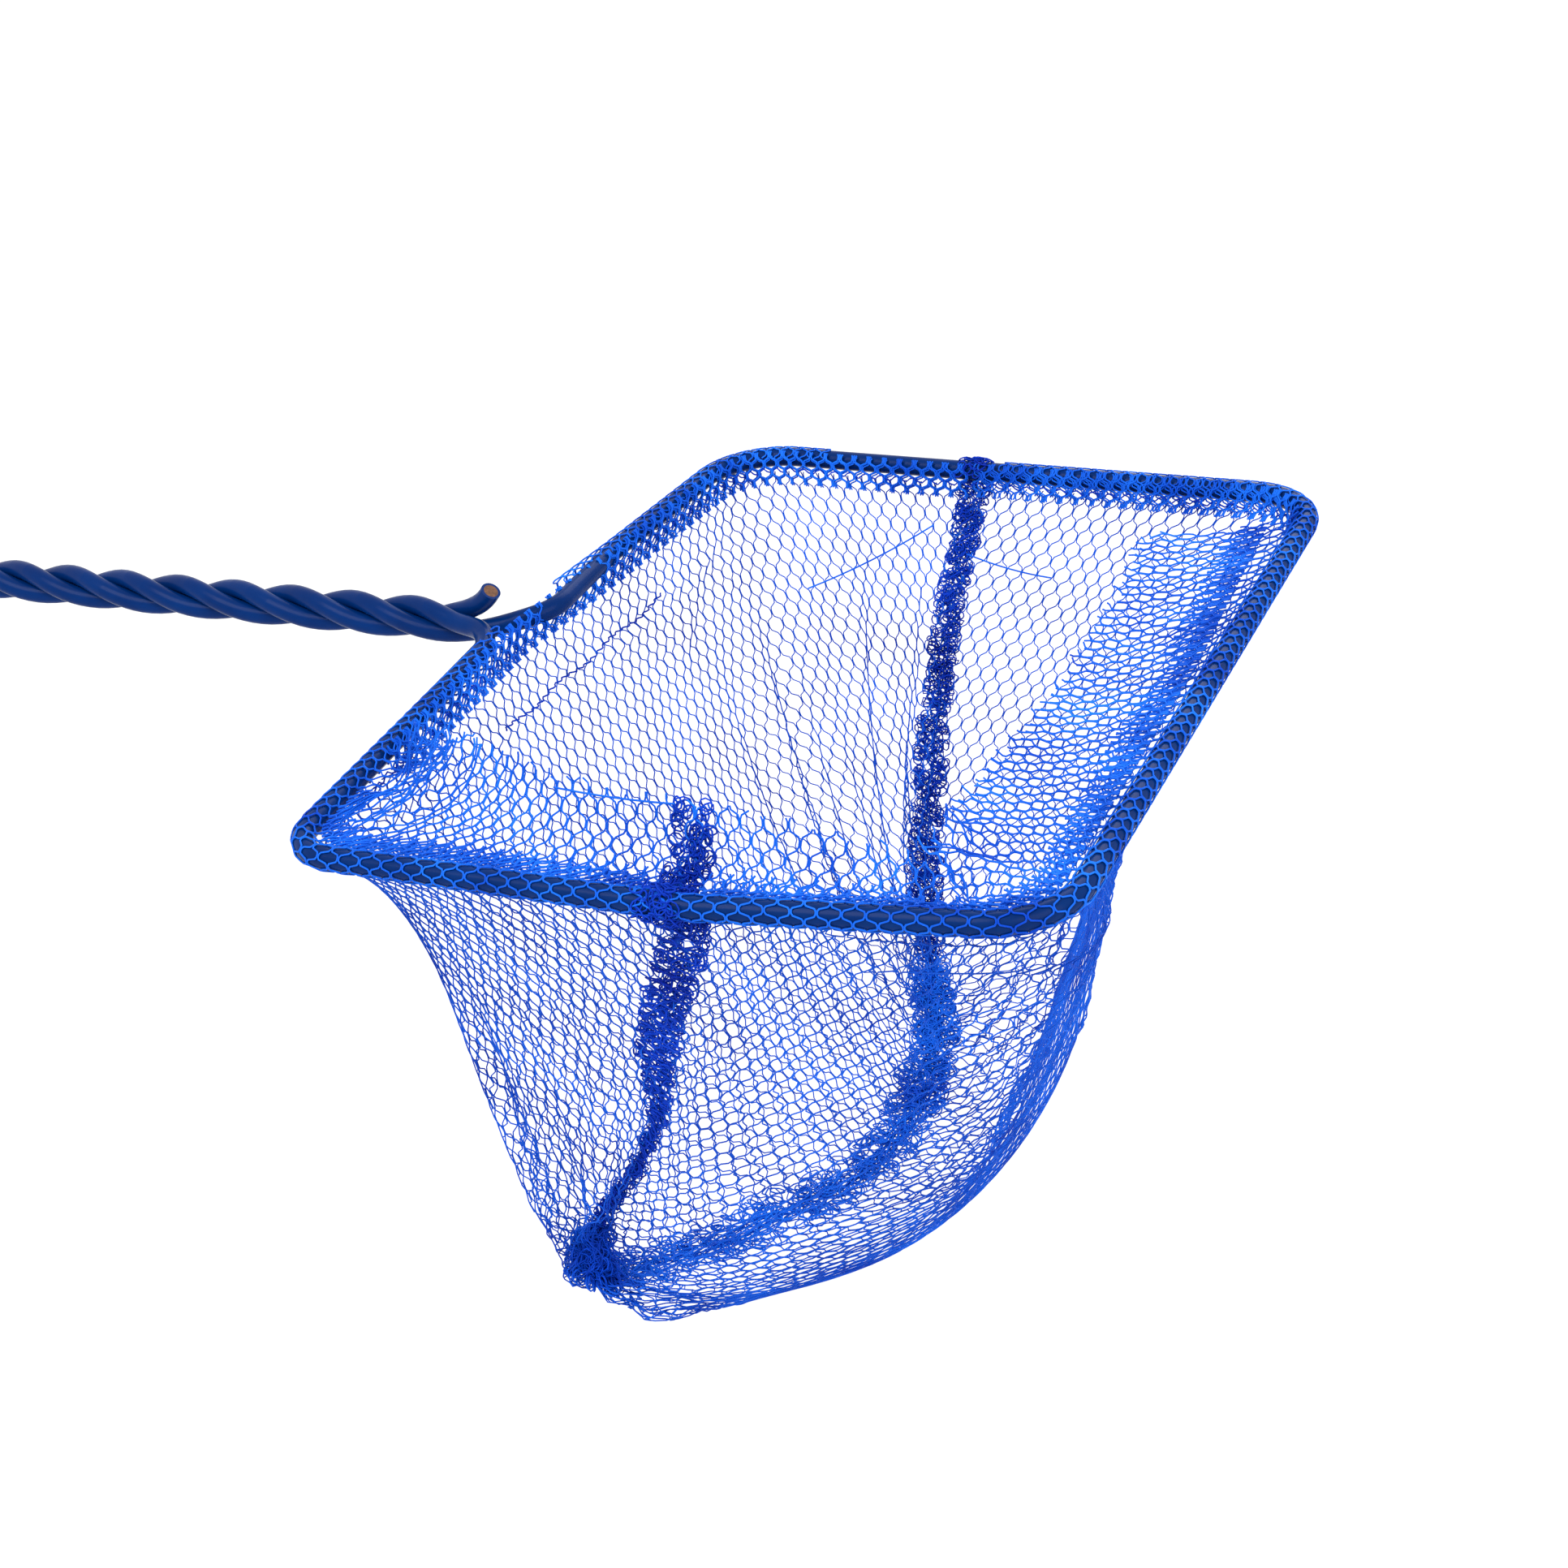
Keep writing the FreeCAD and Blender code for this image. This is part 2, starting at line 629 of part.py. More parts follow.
def seam_thread(at_far_end):
    """The thread that runs from side to side along a side seam, on its outer face."""
    half = SEAM_STITCH_WIDTH / 2
    lift = (SEAM_THICKNESS + THREAD_DIAMETER) / 2 + 0.1

    def place(reach, v):
        point = seam_point(reach, v, at_far_end)
        outwards = Vector(0, 1 if at_far_end else -1, 0)
        return from_hoop(point.x, point.y, point.z) + outwards * lift

    length = sum((place(0, (i + 1) / 20) - place(0, i / 20)).Length for i in range(20))
    turns = int(length / SEAM_STITCH)

    def thread_point(phase):
        return place(half * math.sin(2 * math.pi * phase * turns), 0.03 + phase * (PANEL_END - 0.06))

    knots = []
    for index in range(turns * 4 + 1):
        phase = index / (turns * 4)
        small = 0.02 / turns
        way = thread_point(min(phase + small, 1)) - thread_point(max(phase - small, 0))
        knots.append((thread_point(phase), way))
    return tube(smooth_path(knots), THREAD_DIAMETER / 2)


def bottom_seam():
    """The two panels' lower edges, rolled together and sewn: a round roll along the bottom line."""
    knots = []
    for index in range(9):
        share = index / 8
        way = along(BOTTOM_LINE, min(share + 0.01, 1)) - along(BOTTOM_LINE, max(share - 0.01, 0))
        point = along(BOTTOM_LINE, share)
        knots.append((from_hoop(point.x, point.y, point.z), way))
    return tube(smooth_path(knots), BOTTOM_SEAM_DIAMETER / 2)


def flap(front):
    last = FRONT_FLAP_EDGE[-1][0] if front else BACK_FLAP_EDGE[-1][0]
    first = seam_share(0, front, False, SOFT_GAP / 2)

    def place(s, t):
        return flap_point(first + (last - first) * s, t, front)

    return cloth_solid(place, 30, 4, NET_THICKNESS)


def hem_band(front):
    """Where the allowance hangs flat against the panel, inside the bag: the handle side or the far side."""
    first = 0.76 if front else BACK_FLAP_EDGE[-1][0] + 0.03

    def place(s, t):
        v = 0.012 + t * (HEM_BAND_DEPTH - 0.012)
        high = 1 - seam_share(v, front, True, SEAM_EDGE)
        return bag_point(first + (high - first) * s, v, front)

    inside = NET_THICKNESS + 0.15
    return cloth_solid(place, 24, 2, NET_THICKNESS, inside if front else -inside)


def hem_sleeve(start, corners, end):
    """The net's edge wrapped round the wire, as a thin tube."""
    inner = WIRE_RADIUS + HEM_CLEARANCE
    return sleeve(bent_path(start, corners, end), inner + HEM_THICKNESS, inner)


def hem_thread():
    """The line of stitching that closes the hem, just inside the wire."""
    inset = WIRE_RADIUS + HEM_THICKNESS + 2 * THREAD_DIAMETER / 2
    path = bent_path(
        on_run((NEAR_LIMB_START, 0), NEAR_BACK_CORNER, y=HEM_THREAD_START_Y),
        HOOP_CORNERS[:-1],
        on_run(FAR_BACK_CORNER, FAR_LIMB_BEND, y=HEM_THREAD_END_Y),
        inset,
        -PANEL_TOP_DROP + 0.3,
    )
    return tube(path, THREAD_DIAMETER / 2)


def export(name, shape):
    shape.exportStep("parts/%s.step" % name)
    print("%-28s %9.1f mm3  valid %s  solids %d" % (name, shape.Volume, shape.isValid(), len(shape.Solids)))


def main():
    os.makedirs("parts", exist_ok=True)
    core = CORE_DIAMETER / 2
    runs = {
        "hanging_eye": eye_path(),
        "strand_to_stub": joined(strand_path(STUB_STRAND_ANGLE), stub_path()),
        "strand_to_far_limb": joined(strand_path(BOTTOM_STRAND_ANGLE), far_shoulder_path()),
        "strand_to_near_limb": joined(
            reversed_path(strand_tail_path()), strand_path(TOP_STRAND_ANGLE), near_shoulder_path()
        ),
        "hoop": hoop_path(),
    }
    for name, path in runs.items():
        export(name + "_core", tube(path, core))
        export(name + "_coating", sleeve(path, WIRE_RADIUS, core))
    near_hem_end = on_run((NEAR_LIMB_START, 0), NEAR_BACK_CORNER, y=HEM_NECK_NEAR_Y)
    far_hem_end = on_run(FAR_LIMB_BEND, (FAR_LIMB_START, 0), y=HEM_NECK_FAR_Y)
    sleeves = {
        "hem_sleeve_near_back": (near_hem_end, (NEAR_BACK_CORNER,), NEAR_SEAM_POINT),
        "hem_sleeve_front": (
            (NEAR_SEAM_POINT[0] + SOFT_GAP, NEAR_SEAM_POINT[1]),
            (NEAR_SIDE_BEND, NEAR_FRONT_CORNER, FAR_FRONT_CORNER),
            on_run(FAR_FRONT_CORNER, FAR_BACK_CORNER, x=HEM_GAP_END_X),
        ),
        "hem_sleeve_far_back": (
            on_run(FAR_FRONT_CORNER, FAR_BACK_CORNER, x=HEM_GAP_START_X),
            (FAR_BACK_CORNER, FAR_LIMB_BEND),
            far_hem_end,
        ),
    }
    for name, route in sleeves.items():
        export(name, hem_sleeve(*route))
    export("net_panel_handle_side", panel(False))
    export("net_panel_front", panel(True))
    export("hem_flap_near", flap(False))
    export("hem_flap_front", flap(True))
    export("hem_band_handle_side", hem_band(False))
    export("hem_band_far_side", hem_band(True))
    export("side_seam_near", side_seam(False))
    export("side_seam_far", side_seam(True))
    export("seam_thread_near", seam_thread(False))
    export("seam_thread_far", seam_thread(True))
    export("bottom_seam", bottom_seam())
    export("hem_thread", hem_thread())


main()
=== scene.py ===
# %% [markdown]
# # A small fish net, dressed in Blender
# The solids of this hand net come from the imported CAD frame: one coated wire, twisted into a handle and bent
# to a hoop, and thin closed skins in place of the net. This file keeps the wire as it is and gives it its
# plastic, and it knits the bag again, hole by hole, where the skins are.

# %% Load the frame
import bmesh
import bpy
import math
import numpy as np
from mathutils import Matrix, Vector


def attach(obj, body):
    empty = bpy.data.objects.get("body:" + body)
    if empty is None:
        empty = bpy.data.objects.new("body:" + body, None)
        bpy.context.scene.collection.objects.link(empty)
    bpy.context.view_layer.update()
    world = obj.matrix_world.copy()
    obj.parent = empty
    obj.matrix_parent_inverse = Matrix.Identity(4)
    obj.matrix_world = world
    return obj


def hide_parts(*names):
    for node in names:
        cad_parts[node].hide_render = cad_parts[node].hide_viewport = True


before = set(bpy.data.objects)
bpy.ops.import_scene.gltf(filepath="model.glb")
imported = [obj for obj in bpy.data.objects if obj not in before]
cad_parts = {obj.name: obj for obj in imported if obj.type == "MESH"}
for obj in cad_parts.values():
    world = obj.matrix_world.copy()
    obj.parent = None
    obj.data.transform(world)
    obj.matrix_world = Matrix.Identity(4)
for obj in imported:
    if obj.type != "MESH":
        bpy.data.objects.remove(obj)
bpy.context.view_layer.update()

# %% [markdown]
# ## Measures
# The real bag is cut from hexagonal tulle, a knitted net. Its holes are 2.65 mm wide, and its filaments are a
# fifth of a millimetre thick, a little more in the hem. Everything is worked out in millimetres from the
# hoop's handle side, because the bag hangs from the hoop, and is moved into the frame at the end.

# %% Sizes of the wire and of the net, in millimetres
GRIP_TO_HOOP = 140.0
WIRE_RADIUS = 1.5
HOLE_WIDTH = 2.65
FILAMENT_PITCH = HOLE_WIDTH / 2
ROW_PITCH = 2.25
FILAMENT_RADIUS = 0.1
UP = np.array((0, 0, 1.0))


def in_frame(points):
    """Millimetres from the hoop's handle side to metres in the frame."""
    return (np.asarray(points, float) + (GRIP_TO_HOOP, 0, 0)) / 1000


print("holes", HOLE_WIDTH, "mm wide, rows", ROW_PITCH, "mm apart")

# %% [markdown]
# ## The rim that the net hangs from
# The hoop is straight wire with round bends. A curve object could follow it, but the net asks for places by
# their distance along the wire, which is simpler with plain points. So the rim is the hoop's line, closed
# across the neck, as points half a millimetre apart.

# %% Sample the rim
HOOP_CORNERS = (  # each corner in plan, with the radius of its bend
    ((0.2, -65.0), 7.2),
    ((57.0, -64.8), 30.0),
    ((102.2, -58.6), 11.0),
    ((101.9, 62.5), 11.0),
    ((2.9, 66.5), 11.3),
    ((-0.2, 27.0), 80.0),
    ((-3.2, -2.0), 12.0),
)
RIM_STEP = 0.5


def rounded(corners, step_angle=math.radians(5)):
    """Points along a closed outline with round corners."""
    points = []
    for index, (corner, radius) in enumerate(corners):
        corner = np.array(corner)
        before = np.array(corners[index - 1][0]) - corner
        after = np.array(corners[(index + 1) % len(corners)][0]) - corner
        before = before / np.linalg.norm(before)
        after = after / np.linalg.norm(after)
        half = math.acos(float(np.clip(before @ after, -1, 1))) / 2
        middle = corner + (before + after) / np.linalg.norm(before + after) * radius / math.sin(half)
        start = corner + before * radius / math.tan(half) - middle
        turn = math.pi - 2 * half
        way = math.copysign(1, before[0] * after[1] - before[1] * after[0]) * -1
        for angle in np.linspace(0, turn * way, max(3, int(turn / step_angle))):
            c, s = math.cos(angle), math.sin(angle)
            points.append(middle + (c * start[0] - s * start[1], s * start[0] + c * start[1]))
    return np.array(points + [points[0]])


corners_line = rounded(HOOP_CORNERS)
runs = np.r_[0, np.cumsum(np.linalg.norm(np.diff(corners_line, axis=0), axis=1))]
RIM_LENGTH = float(runs[-1])
rim_distances = np.linspace(0, RIM_LENGTH, int(RIM_LENGTH / RIM_STEP) + 1)
rim_points = np.stack([np.interp(rim_distances, runs, corners_line[:, axis]) for axis in (0, 1)], 1)
print("rim", round(RIM_LENGTH, 1), "mm,", len(rim_points), "points")

# %% [markdown]
# Two side seams hang from the rim and part the bag into a front panel, away from the handle, and a panel at
# the handle's side. A place round the bag is a share u of its panel, 0 at the near seam and 1 at the far one.

# %% Places on the rim
NEAR_SEAM_X = 54.0
FAR_SEAM_X = 46.0
SIDE_WAY = {"front": 1, "back": -1}  # which way round the rim a panel goes from the near seam
RIM_REACH = 0.4  # how far to either side the rim's direction is measured


def rim_at(distance):
    """Points of the rim at distances along it."""
    distance = np.asarray(distance) % RIM_LENGTH
    return np.stack([np.interp(distance, rim_distances, rim_points[:, axis]) for axis in (0, 1)], -1)


def rim_way(distance):
    """The rim's direction at distances along it."""
    way = rim_at(distance + RIM_REACH) - rim_at(distance - RIM_REACH)
    return way / np.linalg.norm(way, axis=-1, keepdims=True)


def distance_of(x, side_sign):
    """Where the rim passes x, on the near side (-1) or on the far side (1)."""
    gap = np.where(rim_points[:, 1] * side_sign > 0, abs(rim_points[:, 0] - x), np.inf)
    return float(rim_distances[np.argmin(gap)])


NEAR_SEAM_AT = distance_of(NEAR_SEAM_X, -1)
FAR_SEAM_AT = distance_of(FAR_SEAM_X, 1)
SIDE_LENGTH = {"front": FAR_SEAM_AT - NEAR_SEAM_AT, "back": RIM_LENGTH - FAR_SEAM_AT + NEAR_SEAM_AT}
print("panels along the rim", {side: round(length, 1) for side, length in SIDE_LENGTH.items()})


def rim_frame(u, side):
    """The wire's centre and the level direction towards the mouth, at shares u."""
    distance = NEAR_SEAM_AT + SIDE_WAY[side] * SIDE_LENGTH[side] * np.asarray(u)
    way = rim_way(distance)
    zero = np.zeros(way.shape[:-1] + (1,))
    centre = np.concatenate([rim_at(distance), zero], -1)
    inwards = np.stack([-way[..., 1], way[..., 0], zero[..., 0]], -1)
    return centre, inwards


# %% [markdown]
# ## The shape of the bag
# The two panels are sewn together along the side seams and one bottom seam. A soft bag takes a new shape each
# time it's put down. A cloth simulation would give a shape, but not the one in the photo, so each line down
# the bag is a curve with two guide points, and the guide points lie on two rings.

# %% Guide rings of the bag
NEAR_SEAM_GUIDES = ((50, -58, -25), (40, -47, -50), (23, -47, -70))
FAR_SEAM_GUIDES = ((38, 62, -28), (34, 52, -60), (38, 43, -82))


def ring(number, *places):
    """Guide points at shares of a panel, from the near seam's to the far seam's."""
    return ((0.0, NEAR_SEAM_GUIDES[number]), *places, (1.0, FAR_SEAM_GUIDES[number]))


UPPER_RING = {
    "front": ring(
        0,
        (0.12, (69, -55.5, -18)),
        (0.23, (101.5, -42, -24)),
        (0.35, (91, -19.5, -28.5)),
        (0.5, (74, 2, -32)),
        (0.77, (72, 48, -32)),
        (0.88, (62, 60, -30)),
    ),
    "back": ring(
        0,
        (0.12, (34.5, -51.5, -21.5)),
        (0.24, (10.5, -42, -14)),
        (0.5, (3, 0, -30)),
        (0.76, (6, 52, -30)),
        (0.88, (22, 60, -30)),
    ),
}
LOWER_RING = {
    "front": ring(
        1,
        (0.1, (38, -54.5, -96.5)),
        (0.23, (70.5, -38, -93.5)),
        (0.5, (78, 0, -95.5)),
        (0.77, (66, 42, -90)),
        (0.88, (56, 50, -80)),
    ),
    "back": ring(
        1,
        (0.12, (21.5, -51, -80)),
        (0.24, (12.5, -50, -76)),
        (0.5, (20, 0, -72)),
        (0.76, (20, 42, -74)),
        (0.88, (28, 48, -72)),
    ),
}
BOTTOM_LINE = ring(2, (0.25, (25.5, -47, -78.5)), (0.5, (46.5, -8, -85)), (0.75, (45, 25, -87)))

# %% Points of the bag
TOP_INSET = 1.2  # where the net leaves its wrap: this far inwards from the wire's centre
TOP_DROP = 2.0  # and this far below it


def along(guides, share):
    """Points at shares of a line, on smooth curves through its guide points."""
    shares = np.array([entry[0] for entry in guides])
    points = np.array([entry[1] for entry in guides], float)
    slopes = np.gradient(points, shares, axis=0)
    share = np.asarray(share, float)
    index = np.clip(np.searchsorted(shares, share, side="right") - 1, 0, len(shares) - 2)
    span = (shares[index + 1] - shares[index])[..., None]
    t = (share - shares[index])[..., None] / span
    return (
        (2 * t**3 - 3 * t**2 + 1) * points[index]
        + (t**3 - 2 * t**2 + t) * span * slopes[index]
        + (3 * t**2 - 2 * t**3) * points[index + 1]
        + (t**3 - t**2) * span * slopes[index + 1]
    )


def bag_point(u, v, side):
    """The net at shares u round the bag and v down it, from the wire to the bottom seam."""
    u, v = np.broadcast_arrays(np.asarray(u, float), np.asarray(v, float))
    centre, inwards = rim_frame(u, side)
    top = centre + inwards * TOP_INSET - UP * TOP_DROP
    t = v[..., None]
    w = 1 - t
    upper = along(UPPER_RING[side], u)
    lower = along(LOWER_RING[side], u)
    return w**3 * top + 3 * w * w * t * upper + 3 * w * t * t * lower + t**3 * along(BOTTOM_LINE, u)


print("bag", round(-float(bag_point(np.linspace(0, 1, 21), 1.0, "front")[:, 2].min()), 1), "mm deep")

# %% [markdown]
# ## Laying the net on the bag
# A cut panel of net is flat, its holes are all alike, and it's about a fifth narrower at the bottom than at
# the rim. The bag is narrower still, and its spare net stands in soft folds. A cloth simulation would find
# folds too, but not where the photo shows them. So each panel is a grid of points on the bag's shape, and low
# ridges mark the paths of the main folds first.

# %% Folds of the panels: each is a path of (millimetres down the net, share round the bag), and its height
FOLDS = {
    "front": (
        (((2, 0.06), (10, 0.06), (19, 0.073), (25, 0.067), (33, 0.047), (44, 0.02)), 1.2),
        (((2, 0.18), (13, 0.16), (30, 0.147), (50, 0.135), (64, 0.13), (90, 0.14)), 3.4),
        (((26, 0.3), (60, 0.27), (120, 0.25)), 1.0),
        (((34, 0.45), (120, 0.4)), 0.8),
        (((20, 0.6), (120, 0.58)), 0.8),
        (((12, 0.76), (110, 0.74)), 1.0),
        (((10, 0.9), (90, 0.9)), 0.8),
    ),
    "back": (
        (((14, 0.07), (31, 0.083), (70, 0.095)), 1.4),
        (((24, 0.22), (80, 0.24)), 1.0),
        (((40, 0.4), (95, 0.42)), 0.3),
        (((3, 0.81), (10, 0.763), (16, 0.727), (26, 0.683), (32, 0.627), (60, 0.57), (100, 0.55)), 3.0),
        (((45, 0.683), (100, 0.7)), 0.4),
        (((12, 0.9), (90, 0.88)), 0.8),
    ),
}
RIDGE_WIDTH = 2.2
RIDGE_FADE = 8.0  # the length over which a ridge rises and dies out
print("folds", {side: len(folds) for side, folds in FOLDS.items()})

# %% [markdown]
# Next, neighbours in the grid push and pull each other to the distance that they have in the flat net, as
# springs do, and the bag's shape pulls them back a little. Points five steps apart keep their distance too,
# which makes the folds round and not sharp. The shape pulls hardest at the bottom, where the net is gathered
# into its seam.

# %% Springs between the points of a net
HOLE_SQUEEZE = 0.8  # how far the holes of the net may close before it folds
PULL = 0.25  # the share of a stretch that one round takes back
PUSH_ACROSS = 0.12  # the share of a squeeze that one round takes back, across the net
PUSH_DOWN = 0.1  # and down it
FOLD_REACH = 5  # grid steps that a fold's curve spans
FOLD_PUSH = 0.03
FOLD_ACROSS = 0.86  # how near such points may come, as a share of their distance in the flat net
FOLD_DOWN = 0.95
TINY = 1e-9


def spring(place, rest, gap, axis, stretch, squeeze):
    """Moves that bring points a gap apart along one axis of the grid nearer to their rest distance."""
    place = np.moveaxis(place, axis, 0)
    way = place[gap:] - place[:-gap]
    length = np.linalg.norm(way, axis=2, keepdims=True) + TINY
    error = length - rest
    move = way / length * error * np.where(error > 0, stretch, squeeze)
    shift = np.zeros(place.shape)
    shift[:-gap] += move
    shift[gap:] -= move
    return np.moveaxis(shift, 0, axis)


def relaxed(shape, bumps, rest_across, rest_down, free, rounds, pull):
    """The grid of points on a shape after its net has found its folds. free is 0 where it's sewn down."""
    springs = (
        (rest_across * HOLE_SQUEEZE, 1, 1, 0, PUSH_ACROSS),
        (rest_across, 1, 1, PULL, 0),
        (rest_down, 1, 0, PULL, PUSH_DOWN),
        (rest_across * FOLD_REACH * FOLD_ACROSS, FOLD_REACH, 1, 0, FOLD_PUSH),
        (rest_down * FOLD_REACH * FOLD_DOWN, FOLD_REACH, 0, 0, FOLD_PUSH),
    )
    place = shape + bumps * free
    for step in range(rounds):
        place = place + free * pull * (shape - place)
        for measures in springs:
            place = place + free * spring(place, *measures)
    return place


# %% Small unevenness and lengths
WAVES = (9.0, 15.0, 27.0, 48.0)  # millimetres
WAVE_DIVISOR = 2.5


def wobble(across, down, seed):
    """Small smooth unevenness, as in handled net."""
    rng = np.random.default_rng(seed)
    total = np.zeros(np.broadcast(across, down).shape)
    for wave in WAVES:
        angle, phase = rng.uniform(0, 2 * math.pi, 2)
        run = across * math.cos(angle) + down * math.sin(angle)
        total = total + np.sin(run * 2 * math.pi / wave + phase)
    return total / WAVE_DIVISOR


def lengths_down(lines):
    """The length along each line, from its first point."""
    steps = np.linalg.norm(np.diff(lines, axis=0), axis=2)
    return np.vstack([np.zeros(lines.shape[1]), np.cumsum(steps, axis=0)])


# %% Lay the two panels
U_GRID = np.linspace(0, 1, 181)
V_GRID = np.linspace(0, 1, 57)
TAPER = 0.22  # the share of its width that a panel loses from top to bottom, as it was cut
UNEVEN_HEIGHT = 0.5
SHAPE_PULL = 0.004
LAY_ROUNDS = 420
BOTTOM_PULL = 12  # how much harder the shape pulls at the bottom
GATHERED_FROM = 0.72  # the share down the bag where that begins
PANEL_SEEDS = {"front": 3, "back": 5}


def inward_normal(grid, side):
    """The direction into the bag at each point of a panel."""
    normal = np.cross(np.gradient(grid, axis=1), np.gradient(grid, axis=0))
    normal /= np.linalg.norm(normal, axis=2, keepdims=True) + TINY
    return normal * -SIDE_WAY[side]


def panel_lines(side, seed):
    """Lines down the panel, one for each share of the grid, as the net hangs in its folds."""
    shape = bag_point(U_GRID[None, :], V_GRID[:, None], side)
    down = lengths_down(shape)
    across = U_GRID[None, :] * SIDE_LENGTH[side]
    ridges = UNEVEN_HEIGHT * wobble(across, down, seed)
    for path, height in FOLDS[side]:
        starts, shares = np.array(path).T
        distance = across - np.interp(down, starts, shares) * SIDE_LENGTH[side]
        inside = np.clip((down - starts[0]) / RIDGE_FADE + 1, 0, 1)
        inside = inside * np.clip((starts[-1] - down) / RIDGE_FADE + 1, 0, 1)
        ridges = ridges + height * inside * np.exp(-((distance / RIDGE_WIDTH) ** 2))
    free = np.ones(shape.shape)
    free[[0, -1]] = 0
    free[:, [0, -1]] = 0
    rest_across = (SIDE_LENGTH[side] / (len(U_GRID) - 1) * (1 - TAPER * V_GRID))[None, :, None]
    rest_down = (down[-1] / (len(V_GRID) - 1))[None, :, None]
    bumps = inward_normal(shape, side) * ridges[..., None]
    gathered = np.clip((V_GRID - GATHERED_FROM) / (1 - GATHERED_FROM), 0, 1)
    pull = SHAPE_PULL * (1 + BOTTOM_PULL * gathered)[:, None, None]
    return relaxed(shape, bumps, rest_across, rest_down, free, LAY_ROUNDS, pull)


laid = {side: panel_lines(side, seed) for side, seed in PANEL_SEEDS.items()}
for side, lines in laid.items():
    print(side, "panel", round(float(lengths_down(lines)[-1].mean()), 1), "mm long on average")

# %% [markdown]
# ## Knitting
# In this net each filament runs down the cloth in a zigzag of its own and meets its two neighbours in turn.
# Where two filaments lie side by side they make the upright sides of the holes, and where they part they make
# the slanting ones. A texture of hexagons would look flat at the edges and in the folds, so every filament is
# a thin round curve.

# %% Filament paths
UPRIGHT_OFFSET = 0.15  # rows from a row's middle to the ends of the holes' upright sides
TURN_OFFSET = 0.37  # and to the points where the filaments have begun to part
LEVEL_OFFSETS = (-TURN_OFFSET, -UPRIGHT_OFFSET, UPRIGHT_OFFSET, TURN_OFFSET)
TURN_SPREAD = 0.13  # the share of its way across that a filament has gone at such a point
SIDE_BY_SIDE = FILAMENT_RADIUS * 0.85
FILAMENT_SWAY = 0.2
RAW_EDGE_SPREAD = (-0.9, 0.7)  # how far the cut ends stop before the raw edge or pass it
RAW_EDGE_SEED = 900


def filament_offset(index, row, offset):
    """Where filament number index lies across the cloth, at an offset within a row."""
    spread = TURN_SPREAD if abs(offset) == TURN_OFFSET else 0.0
    left = index * FILAMENT_PITCH + SIDE_BY_SIDE
    right = (index + 1) * FILAMENT_PITCH - SIDE_BY_SIDE
    on_left = (index + row) % 2 == 0
    return np.where(on_left, left + (right - left) * spread, right - (right - left) * spread)


def unbroken(table):
    """The stretches of each filament that lie on the cloth."""
    paths = []
    for column in range(table.shape[1]):
        line = table[:, column]
        good = ~np.isnan(line[:, 0])
        edges = np.flatnonzero(np.diff(np.r_[0, good.astype(int), 0]))
        for start, stop in zip(edges[::2], edges[1::2]):
            if stop - start >= 2:
                paths.append(line[start:stop])
    return paths


def knit(levels, rows, first, last, seed, raw_edge=None):
    """Paths of filaments first to last. levels gives (points, columns, down) at a place in rows, or None."""
    indices = np.arange(first, last)
    rng = np.random.default_rng(seed + RAW_EDGE_SEED)
    loose = rng.uniform(*RAW_EDGE_SPREAD, len(indices))
    table = []
    for row in rows:
        for offset in LEVEL_OFFSETS:
            level = levels(row + offset)
            across = filament_offset(indices, row, offset)
            place = np.full((len(indices), 3), np.nan)
            if level is not None:
                points, columns, down = level
                moved = across + FILAMENT_SWAY * wobble(across, (row + offset) * ROW_PITCH, seed)
                inside = (moved > columns[0]) & (moved < columns[-1])
                if raw_edge is not None:
                    inside &= down <= np.interp(moved, *raw_edge) + loose
                for axis in range(3):
                    place[:, axis] = np.where(inside, np.interp(moved, columns, points[:, axis]), np.nan)
            table.append(place)
    return unbroken(np.array(table))


# %% Threads as one mesh
def thread_piece(name, nodes, paths, radius, resolution=1, closed=False):
    """One mesh of round threads along paths in millimetres from the hoop, in place of some CAD nodes."""
    curve = bpy.data.curves.new(name, "CURVE")
    curve.dimensions = "3D"
    curve.bevel_depth = radius / 1000
    curve.bevel_resolution = resolution
    curve.use_fill_caps = True
    for path in paths:
        spline = curve.splines.new("POLY")
        spline.points.add(len(path) - 1)
        flat = np.c_[in_frame(path), np.ones(len(path))]
        spline.points.foreach_set("co", flat.ravel())
        spline.use_cyclic_u = closed
    shape = bpy.data.objects.new(name + "_curve", curve)
    bpy.context.collection.objects.link(shape)
    mesh = bpy.data.meshes.new_from_object(shape.evaluated_get(bpy.context.evaluated_depsgraph_get()))
    bpy.data.objects.remove(shape)
    mesh.name = name
    mesh.polygons.foreach_set("use_smooth", [True] * len(mesh.polygons))
    piece = bpy.data.objects.new(name, mesh)
    bpy.context.collection.objects.link(piece)
    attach(piece, "root")
    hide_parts(*nodes)
    print(name, "threads", len(paths), "triangles", sum(len(p.vertices) - 2 for p in mesh.polygons))
    return piece


# %% [markdown]
# ## The two panels
# The levels of a panel lie at even distances down its lines, as its rows do in the flat net. A level goes a
# little past the side seams, where the two panels overlap. Each panel becomes three pieces, because one mesh
# with all its filaments would be too heavy to export.

# %% Levels of a panel
SEAM_LAP = 2.6
CUT_LAP = 0.2  # how far a level goes past its end where the bottom seam cuts it off
WAY_STEPS = 3  # grid steps over which a level's way is measured at its ends
FEWEST_POINTS = 8


def level_points(lines, lengths, down):
    """Each line's point at a length down it, or nan past the line's end."""
    down = np.broadcast_to(down, lines.shape[1])
    points = np.full((lines.shape[1], 3), np.nan)
    for index in np.flatnonzero(lengths[-1] >= down):
        for axis in range(3):
            points[index, axis] = np.interp(down[index], lengths[:, index], lines[:, index, axis])
    return points


